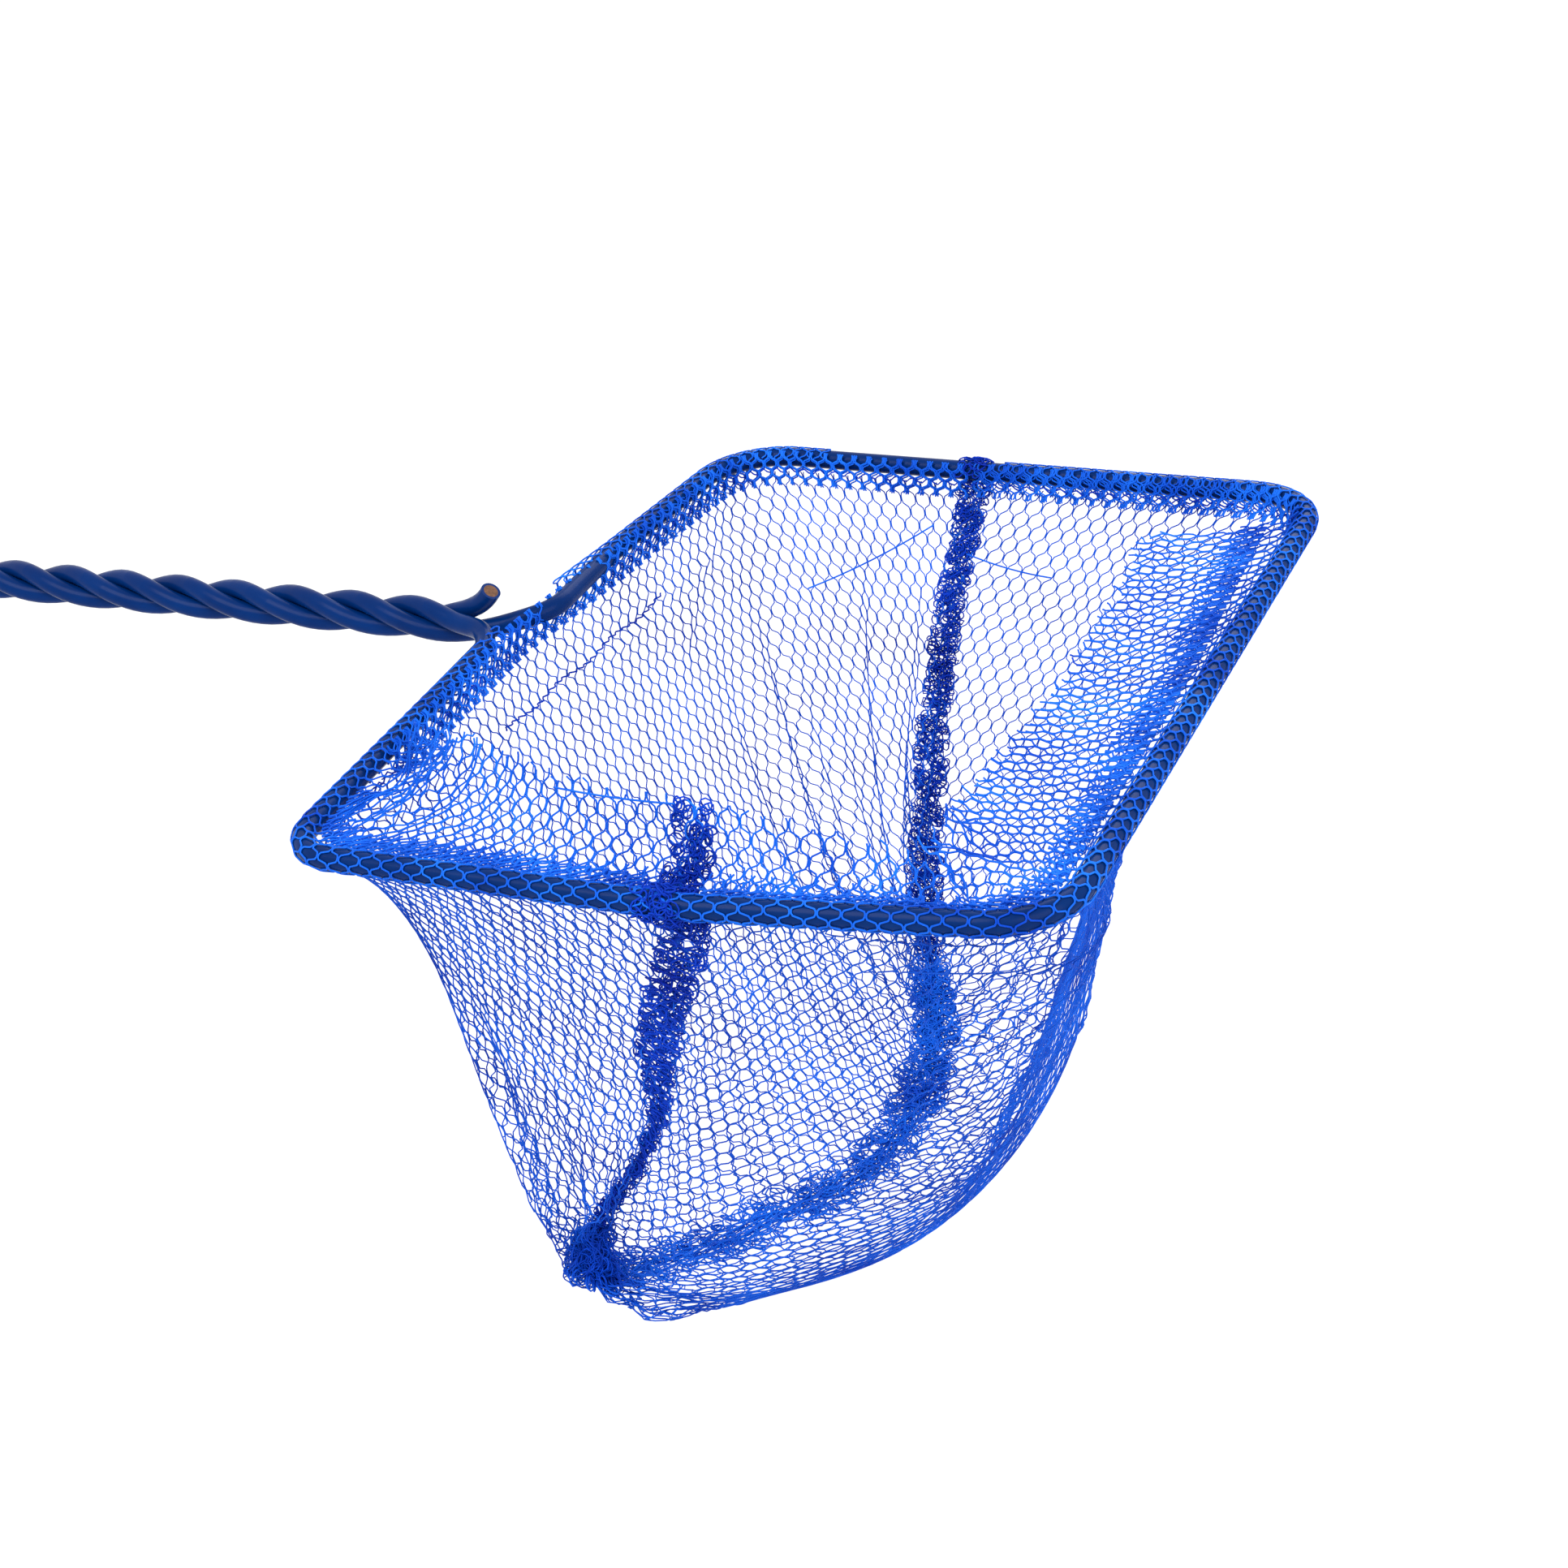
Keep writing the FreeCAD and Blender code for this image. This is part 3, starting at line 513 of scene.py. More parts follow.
def widened(points, columns, lap_before, lap_after):
    """A level continued past its two ends."""
    first = points[0] - points[WAY_STEPS]
    last = points[-1] - points[-1 - WAY_STEPS]
    first /= np.linalg.norm(first)
    last /= np.linalg.norm(last)
    points = np.vstack([points[0] + first * lap_before, points, points[-1] + last * lap_after])
    return points, np.r_[columns[0] - lap_before, columns, columns[-1] + lap_after]


def panel_levels(side, rows):
    """The levels of a panel, by their place in rows."""
    lines = laid[side]
    lengths = lengths_down(lines)
    levels = {}
    for row in range(rows):
        for offset in LEVEL_OFFSETS:
            down = (row + offset + TURN_OFFSET) * ROW_PITCH
            points = level_points(lines, lengths, down)
            inside = np.flatnonzero(~np.isnan(points[:, 0]))
            if len(inside) < FEWEST_POINTS:
                continue
            inside = np.arange(inside[0], inside[-1] + 1)
            before = SEAM_LAP if inside[0] == 0 else CUT_LAP
            after = SEAM_LAP if inside[-1] == len(U_GRID) - 1 else CUT_LAP
            width = 1 - TAPER * min(down / lengths[-1].mean(), 1)
            columns = (0.5 + (U_GRID[inside] - 0.5) * width) * SIDE_LENGTH[side]
            levels[round(row + offset, 3)] = (*widened(points[inside], columns, before, after), down)
    return levels


# %% Knit the panels
PARTS = ("near", "middle", "far")
SPARE_FILAMENTS = 4
panel_pieces = []


def knit_panel(side, node):
    """The three pieces of one panel."""
    lengths = lengths_down(laid[side])[-1]
    rows = int(lengths.max() / ROW_PITCH) + 1
    levels = panel_levels(side, rows)
    filament_at = U_GRID * SIDE_LENGTH[side] / FILAMENT_PITCH
    cuts = np.linspace(-SPARE_FILAMENTS, filament_at[-1] + SPARE_FILAMENTS, len(PARTS) + 1).astype(int)
    for part, first, last in zip(PARTS, cuts, cuts[1:]):
        paths = knit(lambda place: levels.get(round(place, 3)), range(rows), first, last, PANEL_SEEDS[side])
        piece = thread_piece("%s_%s" % (node, part), [node], paths, FILAMENT_RADIUS)
        covered = (filament_at >= first) & (filament_at <= last)
        flat = ((last - first) * FILAMENT_PITCH / 1000, float(lengths[covered].mean()) / 1000)
        print(piece.name, "flat", [round(value, 4) for value in flat])
        panel_pieces.append(piece)


knit_panel("front", "net_panel_front")
knit_panel("back", "net_panel_handle_side")

# %% [markdown]
# ## The hem
# The net's top edge is wrapped once round the wire and sewn to itself just inside it. What's left over, the
# allowance, stands into the mouth as a flap at the near side and the front. It sags, and its raw edge curls
# up. The edge is cut, not bound, so its filaments end in the air. The wrap and the flap are one cloth, so
# they're knitted in one go, along lines that go round the wire and then out into the mouth.

# %% Sizes of the hem
HEM_FILAMENT_RADIUS = 0.13
WRAP_RADIUS = WIRE_RADIUS + 0.18
WRAP_START = math.radians(-61)
WRAP_TURN = math.radians(-289)
WRAP_ROW_PITCH = 1.28
WRAP_STRETCH = ROW_PITCH / WRAP_ROW_PITCH
NEAR_STRETCH = 1.16  # how far the net is stretched along the wire, near the near seam
FURTHER_STRETCH = {"front": 0.93, "back": 0.95}  # and further on
STRETCH_CHANGES = (0.2, 0.27)  # the shares between which the one becomes the other
FLAP_EDGE = {  # the flap's raw edge, at shares from the near seam
    "front": (
        (0.0, (54, -52.5, 7)),
        (0.05, (64, -51, 6)),
        (0.1, (74.5, -50, 3.5)),
        (0.16, (84, -49, 0.5)),
        (0.21, (81.5, -43, -0.5)),
        (0.27, (80.5, -35, -1)),
        (0.42, (82, -12, -1)),
        (0.58, (82, 21, -1)),
        (0.72, (79.5, 50, -1)),
    ),
    "back": (
        (0.0, (54, -52.5, 7)),
        (0.1, (34, -50, 7)),
        (0.2, (17, -43, 5.5)),
        (0.3, (8, -39, 4)),
        (0.38, (4.5, -35, 2.5)),
    ),
}


def hem_columns(side):
    """Millimetres of the hem's own cloth at each share of the grid."""
    middles = (U_GRID[1:] + U_GRID[:-1]) / 2
    stretch = np.interp(middles, STRETCH_CHANGES, (NEAR_STRETCH, FURTHER_STRETCH[side]))
    return np.r_[0, np.cumsum(np.diff(U_GRID) * SIDE_LENGTH[side] / stretch)]


print("hem cloth along the wire", {side: round(hem_columns(side)[-1], 1) for side in SIDE_LENGTH}, "mm")


# %% Lines of the flap
FLAP_START = 0.2  # how far inside the wrap the flap begins
FLAP_SAG = 3.0
SAG_SHARE = 0.75  # how far out on the flap its lowest guide point lies
FLAP_ROWS = 12
PAST_EDGE = 1.06
CRUMPLE_HEIGHT = 0.45
CRUMPLE_SEED = 60
FLAP_ROUNDS = 160


def sagging(start, edge, share):
    """Points at shares of the way from a start to the raw edge, on a curve that sags between them."""
    guide = start * (1 - SAG_SHARE) + edge * SAG_SHARE
    guide[..., 2] = -FLAP_SAG
    return start * (1 - share) ** 2 + guide * 2 * share * (1 - share) + edge * share * share


def flap_lines(side, start, seed):
    """The allowance from the wrap's end to a little past its raw edge: it sags, curls up and crumples."""
    end = FLAP_EDGE[side][-1][0]
    edge = along(FLAP_EDGE[side], np.minimum(U_GRID, end))
    shape = sagging(start, edge, np.linspace(0, PAST_EDGE, FLAP_ROWS)[:, None, None])
    cloth = U_GRID <= end
    grid = shape[:, cloth]
    columns = hem_columns(side)[cloth]
    down = lengths_down(grid)
    rest_across = np.diff(columns).mean()
    rest_down = (down[-1] / (len(grid) - 1))[None, :, None]
    free = np.ones(grid.shape)
    free[:2] = 0
    free[:, [0, -1]] = 0
    bumps = UP * (CRUMPLE_HEIGHT * wobble(columns[None, :], down, seed + CRUMPLE_SEED))[..., None]
    shape[:, cloth] = relaxed(grid, bumps, rest_across, rest_down, free, FLAP_ROUNDS, SHAPE_PULL)
    return shape


# %% Filaments of the wrap and the flap
WRAP_STEPS = 25
HEM_ROW_SHIFT = 0.64  # puts the hem's first row where the panel's rows would go on
RAW_EDGE_SHORT = 0.8


def around_wire(centre, inwards, radius, angles):
    """Points round the wire at angles from the mouth's side, upwards."""
    return centre + radius * (np.cos(angles) * inwards + np.sin(angles) * UP)


def hem_lines(side, turned, seed):
    """Lines from the panel's top round the wire and, if turned in, to the raw edge, with the net's length."""
    centre, inwards = rim_frame(U_GRID, side)
    angles = np.linspace(WRAP_START, WRAP_START + WRAP_TURN, WRAP_STEPS)[:, None, None]
    lines = around_wire(centre, inwards, WRAP_RADIUS, angles)
    stretch = [WRAP_STRETCH] * len(lines)
    if turned:
        flap = flap_lines(side, lines[-1] + inwards * FLAP_START, seed)
        lines = np.concatenate([lines, flap])
        stretch += [1.0] * len(flap)
    steps = np.linalg.norm(np.diff(lines, axis=0), axis=2) * np.array(stretch[1:])[:, None]
    return lines, np.vstack([np.zeros(len(U_GRID)), np.cumsum(steps, axis=0)])


def hem_paths(side, u_low, u_high, turned, seed):
    """Filaments of one stretch of the hem, with its cloth's width and length."""
    lines, lengths = hem_lines(side, turned, seed)
    columns = hem_columns(side)
    rows = int(lengths[-1].max() / ROW_PITCH) + 2

    def level(place):
        down = -(place - HEM_ROW_SHIFT) * ROW_PITCH
        if down < 0 or down > lengths[-1].max():
            return None
        points = level_points(lines, lengths, np.minimum(down, lengths[-1]))
        return (*widened(points, columns, SEAM_LAP, SEAM_LAP), down)

    raw_edge = lengths[-1] - (RAW_EDGE_SHORT if turned else 0)
    low, high = np.interp((u_low, u_high), U_GRID, columns)
    first = int((low - (SEAM_LAP if u_low == 0 else 0)) / FILAMENT_PITCH)
    last = int(high / FILAMENT_PITCH)
    paths = knit(level, range(-rows, 1), first, last, seed, (columns, raw_edge))
    covered = (U_GRID >= u_low) & (U_GRID <= u_high)
    return paths, (last - first) * FILAMENT_PITCH, float(lengths[-1][covered].mean())


# %% [markdown]
# At the handle's side and at the far side the allowance doesn't stand up. It's folded over and over and lies
# against the panel as a dense band. On the flap a narrow pleat lies along the wire, folded in the same way.
# One cloth folded so tightly would run through itself, so band and pleat are several layers of net laid one
# on another, each a little out of step with the last.

# %% Filaments of folded net
FOLDED_ROW_PITCH = 1.5
FIRST_ROW = 0.4
LAYER_SHIFT = 1.0  # how far a layer may lie out of step along the wire
BAND_LAYERS = 4
BAND_ANGLES = (62, 35, 8, -18)
BAND_DEPTHS = (0.2, 0.36, 0.52, 0.68, 0.84, 1.0)
BAND_LIFT = (0.45, 0.32)  # the first layer's height over the panel, and what each further one adds
BAND_GAP = 0.15  # from the wrap to the band's first layer, and from layer to layer
BAND_SLIP = 0.6  # how far a layer may lie out of step down the net
PLEAT_LAYERS = 3
PLEAT_ROWS = 4  # in its lowest layer; each further one has a row less
PLEAT_LIFT = (0.3, 0.28)
PLEAT_SLIP = 0.8


def folded_paths(side, u_low, u_high, layers, most_slip, seed):
    """Filaments of layers of net, one on another, with their cloth's width and length.

    A layer is its lines, where it begins down them, its lift and its rows, or None for as many as fit."""
    first, last = (int(share * SIDE_LENGTH[side] / FILAMENT_PITCH) for share in (u_low, u_high))
    rng = np.random.default_rng(seed)
    paths = []
    total = 0.0
    for number, (lines, begin, lift, rows) in enumerate(layers):
        lengths = lengths_down(lines)
        columns = U_GRID * SIDE_LENGTH[side] + rng.uniform(-LAYER_SHIFT, LAYER_SHIFT)
        slip = rng.uniform(0, most_slip)
        rows = rows or int((lengths[-1].min() - slip) / FOLDED_ROW_PITCH)

        def level(place):
            down = slip + (place + FIRST_ROW) * FOLDED_ROW_PITCH
            points = level_points(lines, lengths, np.minimum(begin + down, lengths[-1]))
            return points + lift, columns, down

        paths += knit(level, range(rows), first, last, seed + number)
        total += rows * FOLDED_ROW_PITCH
    return paths, (last - first) * FILAMENT_PITCH, total


def band_layers(side, reach):
    """Layers of the band, from the wire's inner side down the panel to a share of its depth."""
    centre, inwards = rim_frame(U_GRID, side)
    angles = np.radians(BAND_ANGLES)[:, None, None]
    depths = reach * np.array(BAND_DEPTHS)[:, None]
    for number in range(BAND_LAYERS):
        top = around_wire(centre, inwards, WRAP_RADIUS + BAND_GAP + BAND_GAP * number, angles)
        lift = BAND_LIFT[0] + BAND_LIFT[1] * number
        hanging = bag_point(U_GRID[None, :], depths, side) + inwards * lift
        yield np.concatenate([top, hanging]), 0, 0, None


def pleat_layers(side, starts, flap_seed):
    """Layers of the pleat on the flap. It begins where starts says."""
    centre, inwards = rim_frame(U_GRID, side)
    lines = flap_lines(side, centre + inwards * (WRAP_RADIUS + FLAP_START), flap_seed)
    for number in range(PLEAT_LAYERS):
        lift = UP * (PLEAT_LIFT[0] + PLEAT_LIFT[1] * number)
        yield lines, np.interp(U_GRID, *starts), lift, PLEAT_ROWS - number


# %% [markdown]
# The hem goes round the rim in three stretches, with bare wire between them on the far side and at the neck.
# Flap, pleat and plain wrap that replace the same CAD skins go into one mesh.

# %% Knit the hem
hem_pieces = []


def knit_hem(name, nodes, stretches):
    """One piece of the hem from its stretches, each as filament paths with the cloth's width and length."""
    paths = [path for stretch in stretches for path in stretch[0]]
    piece = thread_piece(name, nodes, paths, HEM_FILAMENT_RADIUS)
    hem_pieces.append(piece)


# Where the pleats begin, in millimetres from the wire, at shares from the near seam
FRONT_PLEAT_START = ((0.2, 0.35, 0.5, 0.6, 0.72), (0.2, 0.2, 0.5, 2.0, 3.4))
NEAR_PLEAT_START = ((0, 1), (0.2, 0.2))
front_stretches = [
    hem_paths("front", 0.0, 0.72, True, 11),
    hem_paths("front", 0.72, 0.98, False, 11),
    folded_paths("front", 0.02, 0.72, pleat_layers("front", FRONT_PLEAT_START, 11), PLEAT_SLIP, 16),
]
far_band = folded_paths("front", 0.72, 1.0, band_layers("front", 0.034), BAND_SLIP, 12)
near_stretches = [
    hem_paths("back", 0.0, 0.38, True, 13),
    hem_paths("back", 0.38, 0.512, False, 13),
    folded_paths("back", 0.02, 0.3, pleat_layers("back", NEAR_PLEAT_START, 13), PLEAT_SLIP, 17),
]
handle_band = folded_paths("back", 0.35, 1.0, band_layers("back", 0.048), BAND_SLIP, 14)
far_wrap = hem_paths("back", 0.585, 0.885, False, 15)
knit_hem("hem_net_front", ["hem_sleeve_front", "hem_flap_front"], front_stretches)
knit_hem("hem_net_far_side", ["hem_band_far_side"], [far_band])
knit_hem("hem_net_near", ["hem_sleeve_near_back", "hem_flap_near"], near_stretches)
knit_hem("hem_net_handle_side", ["hem_band_handle_side"], [handle_band])
knit_hem("hem_net_far_back", ["hem_sleeve_far_back"], [far_wrap])

# %% [markdown]
# ## Seams
# The side seams are overlocked: thread loops round the cut edges of both panels, and the loops, the doubled
# net and the cut ends together look like a dense tangle. A bump map would give a flat ribbon, so each seam is
# two looping threads and many small rings of thread, thrown at random along it with a fixed seed. The near
# seam's tangle goes on round the wire and across the flap above it.

# %% Strips that the seams follow
THREAD_RADIUS = 0.13
SEAM_POINTS = 60
SEAM_END = 0.985  # the share down the bag where the side seams run into the bottom seam
BESIDE_SEAM = 0.015  # a share of the panel, so near the seam that it shows its direction
SHORT_STRIP_POINTS = 24
WRAP_GAP = 0.15


def strip_frame(centre, across):
    """A strip's centre line with the directions across it, along it and off its face."""
    down = np.gradient(centre, axis=0)
    down /= np.linalg.norm(down, axis=1, keepdims=True)
    out = np.cross(across, down)
    out /= np.linalg.norm(out, axis=1, keepdims=True)
    return centre, across, down, out


def seam_frame(share, far):
    """The frame of a side seam, with its face out of the bag."""
    centre = bag_point(np.full(len(share), 1.0 if far else 0.0), share, "front")
    beside = np.full(len(share), 1 - BESIDE_SEAM if far else BESIDE_SEAM)
    across = bag_point(beside, share, "front") - bag_point(beside, share, "back")
    across /= np.linalg.norm(across, axis=1, keepdims=True)
    centre, across, down, out = strip_frame(centre, across)
    return centre, across, down, out * np.sign(out[:, 1:2]) * (1 if far else -1)


def flap_frame():
    """The frame of the near seam where it crosses the flap."""
    centre, inwards = rim_frame(np.zeros(1), "front")
    start = centre[0] + inwards[0] * (WRAP_RADIUS + FLAP_START)
    edge = np.array(FLAP_EDGE["front"][0][1])
    line = sagging(start, edge, np.linspace(0, 1, SHORT_STRIP_POINTS)[:, None])
    return strip_frame(line, np.tile(np.cross(inwards[0], UP), (len(line), 1)))


def wrap_frame(u):
    """The frame of a seam where it goes round the wire."""
    centre, inwards = rim_frame(np.array([u]), "front")
    angles = np.linspace(WRAP_START, WRAP_START + WRAP_TURN, SHORT_STRIP_POINTS)[:, None]
    line = around_wire(centre[0], inwards[0], WRAP_RADIUS + WRAP_GAP, angles)
    return strip_frame(line, np.tile(np.cross(inwards[0], UP), (len(line), 1)))


print("seam strips", SEAM_POINTS, "points long, threads", 2 * THREAD_RADIUS, "mm thick")


# %% Rings and loops of thread
RING_POINTS = 8
LOOP_POINTS = 8
LOOP_SWAY = 0.2  # how much the loops' reach changes along the seam, as a share
LOOP_BACK = 0.35  # how far they run back, as a share of their pitch
LOOP_LIFT = 0.25


def tangle(strip, count, half_width, seed, sizes=(0.55, 1.0), depth=(-0.5, 0.9)):
    """Rings of thread thrown along a strip, as closed paths."""
    rng = np.random.default_rng(seed)
    centre, across, down, out = strip
    rings = []
    for number in range(count):
        where = rng.uniform(0, len(centre) - 1)
        index = int(where)
        reach = float(np.interp(where, np.linspace(0, len(centre) - 1, len(half_width)), half_width))
        middle = centre[index] + (centre[min(index + 1, len(centre) - 1)] - centre[index]) * (where - index)
        middle = middle + across[index] * rng.uniform(-1, 1) * reach + out[index] * rng.uniform(*depth)
        width, height = rng.uniform(*sizes, 2)
        tilt = rng.uniform(0, math.pi)
        lean = rng.normal(0, 0.5)
        one = across[index] * math.cos(tilt) + down[index] * math.sin(tilt)
        two = -across[index] * math.sin(tilt) + down[index] * math.cos(tilt) + out[index] * lean
        angles = np.linspace(0, 2 * math.pi, RING_POINTS + 1)[:-1]
        rings.append(middle + width * np.outer(np.cos(angles), one) + height * np.outer(np.sin(angles), two))
    return rings


def overlock(strip, half_width, pitch, lift, seed):
    """One overlock thread, looping from edge to edge of the seam."""
    rng = np.random.default_rng(seed)
    centre, across, down, out = strip
    length = np.r_[0, np.cumsum(np.linalg.norm(np.diff(centre, axis=0), axis=1))]
    distance = np.linspace(0, length[-1], int(length[-1] / pitch * LOOP_POINTS))
    phase = distance / pitch * 2 * math.pi + rng.uniform(0, 6)
    reach = np.interp(distance, np.linspace(0, length[-1], len(half_width)), half_width)
    reach = reach * (1 + LOOP_SWAY * np.sin(distance * 0.9 + seed))
    place, side, outwards, run = (
        np.stack([np.interp(distance, length, rows[:, axis]) for axis in range(3)], 1)
        for rows in (centre, across, out, down)
    )
    swing = np.sin(phase)[:, None] * reach[:, None]
    back = np.sin(2 * phase)[:, None] * pitch * LOOP_BACK
    return place + side * swing + run * back + outwards * (lift + LOOP_LIFT * np.cos(phase)[:, None])


# %% Sew the side seams
NEAR_SEAM_REACH = (3.2, 3.2, 3.0, 2.9, 2.6, 1.1, 0.7, 0.7, 0.9)
FAR_SEAM_REACH = (2.3, 2.1, 2.4, 2.6, 2.6, 2.8, 3.0)
# The tangle's middle off the seam's line, at shares down the seam
NEAR_SEAM_SHIFT = ((0.0, 0.1, 0.2, 0.3, 0.4, 0.5, 0.6, 1.0), (2.6, 1.5, -0.3, -1.8, -2.2, -1.8, 0.0, 0.0))
FAR_SEAM_SHIFT = ((0, 1), (0, 0))
OVERLOCKS = ((2.3, 0.5, 0), (3.1, -0.3, 7))  # each thread's pitch, its lift off the seam and its own seed
sewn_pieces = []


def sew_side(nodes, far, half_width, shift, count, seed, more_rings):
    """The rings and the two looping threads of one side seam, as two pieces."""
    centre, across, down, out = seam_frame(np.linspace(0.0, SEAM_END, SEAM_POINTS), far)
    moved = np.interp(np.linspace(0, 1, SEAM_POINTS), *shift)[:, None]
    strip = (centre + across * moved, across, down, out)
    rings = tangle(strip, count, half_width, seed) + more_rings
    loops = thread_piece(nodes[0] + "_loops", nodes[:1], rings, THREAD_RADIUS, 0, True)
    threads = [overlock(strip, half_width, pitch, lift, seed + own) for pitch, lift, own in OVERLOCKS]
    line = thread_piece(nodes[0] + "_thread", nodes[1:], threads, THREAD_RADIUS)
    sewn_pieces.extend([loops, line])


near_rings = tangle(flap_frame(), 120, (3.0, 2.8, 2.4), 25, depth=(-0.4, 0.6))
near_rings += tangle(wrap_frame(0.0), 50, (2.6, 2.8, 2.6), 26, depth=(-0.2, 0.2))
near_nodes = ("side_seam_near", "seam_thread_near")
sew_side(near_nodes, False, NEAR_SEAM_REACH, NEAR_SEAM_SHIFT, 290, 21, near_rings)
far_rings = tangle(wrap_frame(1.0), 45, (2.2, 2.2), 36, depth=(-0.2, 0.2))
far_nodes = ("side_seam_far", "seam_thread_far")
sew_side(far_nodes, True, FAR_SEAM_REACH, FAR_SEAM_SHIFT, 540, 31, far_rings)

# %% [markdown]
# The bottom seam is the same stitch, but with both panels gathered into it, so it's a broad and dense band of
# crumpled net along a cord of thread. The net's crumples are larger rings. The cord is a bundle of threads
# wound round the seam's line.

# %% Bottom seam
BOTTOM_POINTS = 90
BOTTOM_REACH = (2.0, 3.6, 4.4, 4.2, 3.4, 2.8)


def bottom_strip():
    """The frame of the bottom seam."""
    centre = along(BOTTOM_LINE, np.linspace(0, 1, BOTTOM_POINTS))
    across = np.cross(np.gradient(centre, axis=0), UP)
    across /= np.linalg.norm(across, axis=1, keepdims=True)
    return strip_frame(centre, across)


def cord_threads(strip, count, seed):
    """Threads wound round each other along a strip."""
    centre, across, down, out = strip
    share = np.linspace(0, 1, len(centre))
    rng = np.random.default_rng(seed)
    threads = []
    for number in range(count):
        turns = rng.uniform(4, 11) * rng.choice((-1, 1))
        radius = rng.uniform(0.5, 1.25)
        angle = share * turns * 2 * math.pi + rng.uniform(0, 2 * math.pi)
        sway = radius * (1 + 0.3 * np.sin(share * rng.uniform(30, 60)))
        sideways = across * (np.cos(angle) * sway)[:, None]
        threads.append(centre + sideways + out * (np.sin(angle) * sway)[:, None])
    return threads


strip = bottom_strip()
rings = tangle(strip, 950, BOTTOM_REACH, 43, sizes=(0.7, 1.4), depth=(-0.5, 1.2))
crumple = [np.vstack([ring, ring[:1]]) for ring in rings]
paths = cord_threads(strip, 14, 41) + crumple
hem_pieces.append(thread_piece("bottom_seam_net", ["bottom_seam"], paths, THREAD_RADIUS, 0))

# %% [markdown]
# The hem is closed by a line of stitches close to the wire: one thread that dips through the net at each
# stitch. A second line holds the folded band to the panel at the handle's side. A few ends of filament were
# never cut off. Waves and sagging lines are enough for them, because single stitches are hardly seen.

# %% Hem stitches and thread ends
STITCH_LENGTH = 2.8
STITCH_STEP = 0.7
STITCH_INSET = 2.2
STITCH_DROP = 1.4
STITCH_DIP = 0.45
STITCHED = (NEAR_SEAM_AT - 110, NEAR_SEAM_AT + RIM_LENGTH - 140)  # from and to, along the rim
END_POINTS = 9
LOOSE_ENDS = (  # from, to, and how far each sags
    ((39.3, 60.6, -8), (26.5, 39, -10), 0.6),
    ((45.2, 59.2, -12), (60, 57, -14), 0.5),
    ((52, -54, 7.4), (35.5, -54.5, 8.0), 0.3),
)


def hem_stitches():
    """The thread that closes the hem under the wire."""
    distance = np.arange(*STITCHED, STITCH_STEP)
    way = rim_way(distance)
    inwards = np.stack([-way[:, 1], way[:, 0]], 1)
    inset = STITCH_INSET + 0.15 * np.sin(distance * 1.3)
    swing = np.sin(distance / STITCH_LENGTH * 2 * math.pi)
    return np.c_[rim_at(distance) + inwards * inset[:, None], -STITCH_DROP + STITCH_DIP * swing]


def band_stitches():
    """The thread that holds the band at the handle's side."""
    u = np.linspace(0.46, 0.68, 110)
    inwards = rim_frame(u, "back")[1]
    depth = 0.105 + 0.004 * np.sin(u * 90)
    return bag_point(u, depth, "back") + inwards * (0.3 + 0.3 * np.sin(u * 700))[:, None]


def thread_end(start, end, sag):
    """A loose end that sags from start to end."""
    t = np.linspace(0, 1, END_POINTS)[:, None]
    return np.array(start) * (1 - t) + np.array(end) * t - UP * sag * 4 * t * (1 - t)


stitches = [hem_stitches(), band_stitches()]
sewn_pieces.append(thread_piece("hem_stitches", ["hem_thread"], stitches, THREAD_RADIUS))
ends = [thread_end(*places) for places in LOOSE_ENDS]
hem_pieces.append(thread_piece("loose_thread_ends", ["hem_thread"], ends, THREAD_RADIUS))

# %% [markdown]
# ## Materials
# The filaments are dyed polyester, royal blue and almost without gloss. They could be a little see-through,
# but nobody would see it in threads so fine, so they're plain, with a colour that drifts over the cloth. The
# bag's panels are the same net as the hem, but their pair of blues is deeper: that is painted shade. The
# sewing thread is a darker blue than both, and its blues are darkened further as painted shade of the dense
# seams.

# %% Net and thread
FAINT_GLOSS = 0.06


def new_material(name):
    """A material with its nodes, its links and its shader."""
    material = bpy.data.materials.new(name)
    material.use_nodes = True
    nodes = material.node_tree.nodes
    return material, nodes, material.node_tree.links, nodes["Principled BSDF"]


def drifting_colour(nodes, links, shader, scale, detail, blues, spread=(0.0, 1.0)):
    """Colours the shader from one of two colours to the other in soft patches, and gives the patches."""
    where = nodes.new("ShaderNodeTexCoord")
    patches = nodes.new("ShaderNodeTexNoise")
    patches.inputs["Scale"].default_value = scale
    patches.inputs["Detail"].default_value = detail
    tint = nodes.new("ShaderNodeValToRGB")
    for element, colour, position in zip(tint.color_ramp.elements, blues, spread):
        element.position = position
        element.color = (*colour, 1)
    links.new(where.outputs["Object"], patches.inputs["Vector"])
    links.new(patches.outputs["Fac"], tint.inputs["Fac"])
    links.new(tint.outputs["Color"], shader.inputs["Base Color"])
    return patches


def filament_material(name, dark, light, roughness):
    """Dyed polyester, in two blues that drift into each other."""
    material, nodes, links, shader = new_material(name)
    drifting_colour(nodes, links, shader, 90, 4, (dark, light), (0.3, 0.72))
    shader.inputs["Roughness"].default_value = roughness
    shader.inputs["Specular IOR Level"].default_value = FAINT_GLOSS
    return material


net_material = filament_material("blue_polyester_net", (0.002, 0.05, 0.48), (0.012, 0.18, 0.86), 0.5)
# painted shade: the bag's net in deeper blues than the same net in the hem
bag_net_painted_shade_material = filament_material("blue_polyester_bag_painted_shade", (0.0018, 0.034, 0.36), (0.009, 0.125, 0.72), 0.5)
# a darker thread, with its blues deepened further as painted shade of the dense seams
dark_thread_and_painted_shade_material = filament_material("dark_blue_sewing_thread_and_painted_shade", (0.001, 0.013, 0.27), (0.005, 0.055, 0.56), 0.6)
dyed = ((panel_pieces, bag_net_painted_shade_material), (hem_pieces, net_material), (sewn_pieces, dark_thread_and_painted_shade_material))
for pieces, material in dyed:
    for piece in pieces:
        piece.data.materials.append(material)
    print(material.name, "on", len(pieces), "pieces")

